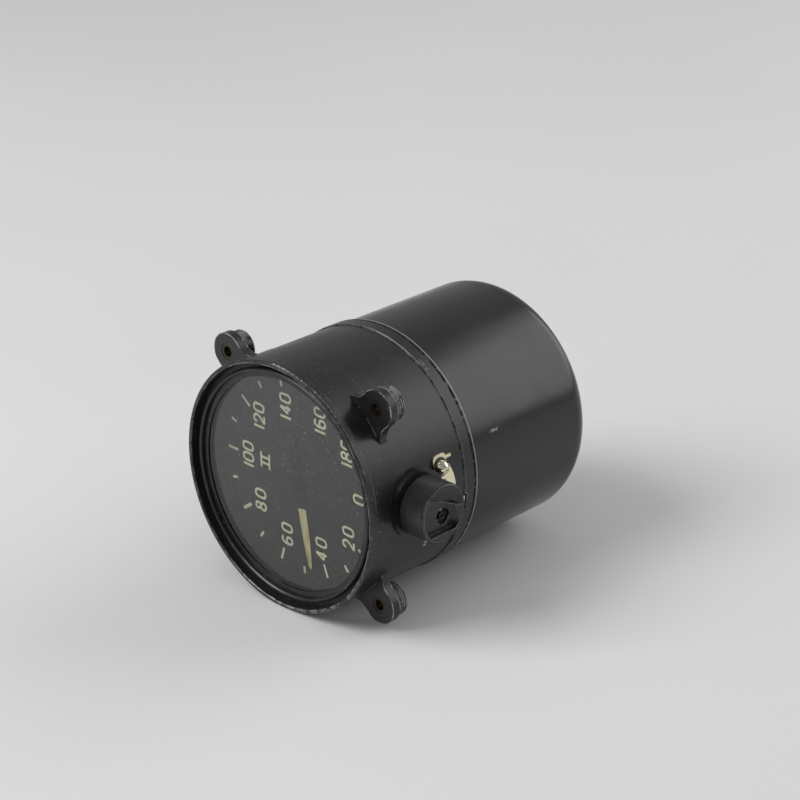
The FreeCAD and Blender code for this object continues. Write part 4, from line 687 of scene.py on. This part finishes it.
pointerStrip.matrix_world = pointerFace @ Matrix.Rotation(-dialAngle(strip["reads"]), 4, "Z")
finishPiece(pointerStrip, "pointer_rotor", stripPaint)
print("pointer strip laid")


# the knurl: a tube whose every other line of points is drawn in, then given a wall that sits on the knob
knurl = {"y": 9.0, "z": 1.4, "inner": 41.0, "outer": 49.4, "valley": 9.03, "peak": 9.24, "teeth": 116, "wall": 0.3}
deselectAll()
bpy.ops.mesh.primitive_cylinder_add(vertices=2 * knurl["teeth"], radius=knurl["peak"] * mm, end_fill_type="NOTHING",
                                    depth=(knurl["outer"] - knurl["inner"]) * mm, location=(0, 0, 0))
knobKnurl = startPiece("knobKnurl")
selectWhere(knobKnurl, lambda point: round(math.atan2(point.y, point.x) / math.pi * knurl["teeth"]) % 2 == 0)
bpy.ops.transform.resize(value=(knurl["valley"] / knurl["peak"], knurl["valley"] / knurl["peak"], 1))
bpy.ops.object.mode_set(mode="OBJECT")
wall = knobKnurl.modifiers.new("wall", "SOLIDIFY")
wall.thickness = knurl["wall"] * mm
wall.offset = -1
bpy.ops.object.modifier_apply(modifier="wall")
knurlMiddle = Vector(((knurl["inner"] + knurl["outer"]) / 2, knurl["y"], knurl["z"])) * mm
knobKnurl.matrix_world = Matrix.Translation(knurlMiddle) @ Matrix.Rotation(math.pi / 2, 4, "Y")
finishPiece(knobKnurl, "adjuster", knurledPhenolic(knurl))
print("knob knurled")


stageLook = {"floorZ": -40.0, "floorMm": 6000, "floor": "E1E1E2", "floorShade": "D9D9DA", "cloudMm": 220,
             "room": "F2F3F4", "roomStrength": 0.42,
             "front": {"place": (-0.5, -0.85, 1.0), "aim": (0, 0.03, 0), "size": (0.8, 0.8), "watts": 13.5},
             "wall": {"place": (0.53, 1.23, 0.66), "aim": (0, 0.05, 0), "size": (1.45, 1.12), "watts": 9.3}}
deselectAll()
bpy.ops.mesh.primitive_circle_add(vertices=96, radius=stageLook["floorMm"] / 2 * mm, fill_type="NGON",
                                  location=(0, 0, stageLook["floorZ"] * mm))
floor = startPiece("floor")
# matt backdrop paper: pale grey, with the slightest cloudiness
floorPaper, floorTree, floorPlace = startFinish("backdropPaper")
cloud = addNode(floorTree, "ShaderNodeTexNoise", None,
                {"Vector": floorPlace, "Scale": 1 / (stageLook["cloudMm"] * mm), "Detail": 2.0})
floorTone = addNode(floorTree, "ShaderNodeMix", colours,
                    {0: cloud, 6: hexColour(stageLook["floor"]), 7: hexColour(stageLook["floorShade"])})
endFinish(floorTree, {"Base Color": floorTone, "Roughness": 0.9, "Specular IOR Level": 0.1})
floor.data.materials.append(floorPaper)

world = bpy.data.worlds.new("softRoom")
world.use_nodes = True
worldTree = world.node_tree
worldTree.nodes.clear()
room = addNode(worldTree, "ShaderNodeBackground", None,
               {"Color": hexColour(stageLook["room"]), "Strength": stageLook["roomStrength"]})
addNode(worldTree, "ShaderNodeOutputWorld", None, {"Surface": room.outputs[0]})
bpy.context.scene.world = world

for lampName in ("front", "wall"):
    lamp = stageLook[lampName]
    data = bpy.data.lights.new(lampName + "Softbox", "AREA")
    data.shape = "RECTANGLE"
    data.size, data.size_y = lamp["size"]
    data.energy = lamp["watts"]
    softbox = bpy.data.objects.new(lampName + "Softbox", data)
    bpy.context.scene.collection.objects.link(softbox)
    softbox.location = lamp["place"]
    softbox.rotation_euler = (Vector(lamp["aim"]) - Vector(lamp["place"])).to_track_quat("-Z", "Y").to_euler()

camera = {"place": (454.545, -421.129, 296.299), "lens": 102.66, "sensorMm": 36, "reach": 20,
          "right": (0.71691077, 0.69709414, -0.00993523), "down": (0.27338262, -0.29420661, -0.91580807),
          "forward": (-0.64132744, 0.65383655, -0.40149331)}
cameraData = bpy.data.cameras.new("photoCamera")
cameraData.lens = camera["lens"]
cameraData.sensor_width = camera["sensorMm"]
cameraData.sensor_fit = "HORIZONTAL"
cameraData.clip_end = camera["reach"]
photoCamera = bpy.data.objects.new("photoCamera", cameraData)
bpy.context.scene.collection.objects.link(photoCamera)
axes = Matrix((camera["right"], [-v for v in camera["down"]], [-v for v in camera["forward"]])).transposed()
photoCamera.matrix_world = Matrix.Translation(Vector(camera["place"]) * mm) @ axes.to_4x4()
bpy.context.scene.camera = photoCamera
bpy.context.scene.view_settings.view_transform = "Standard"
print("stage set")
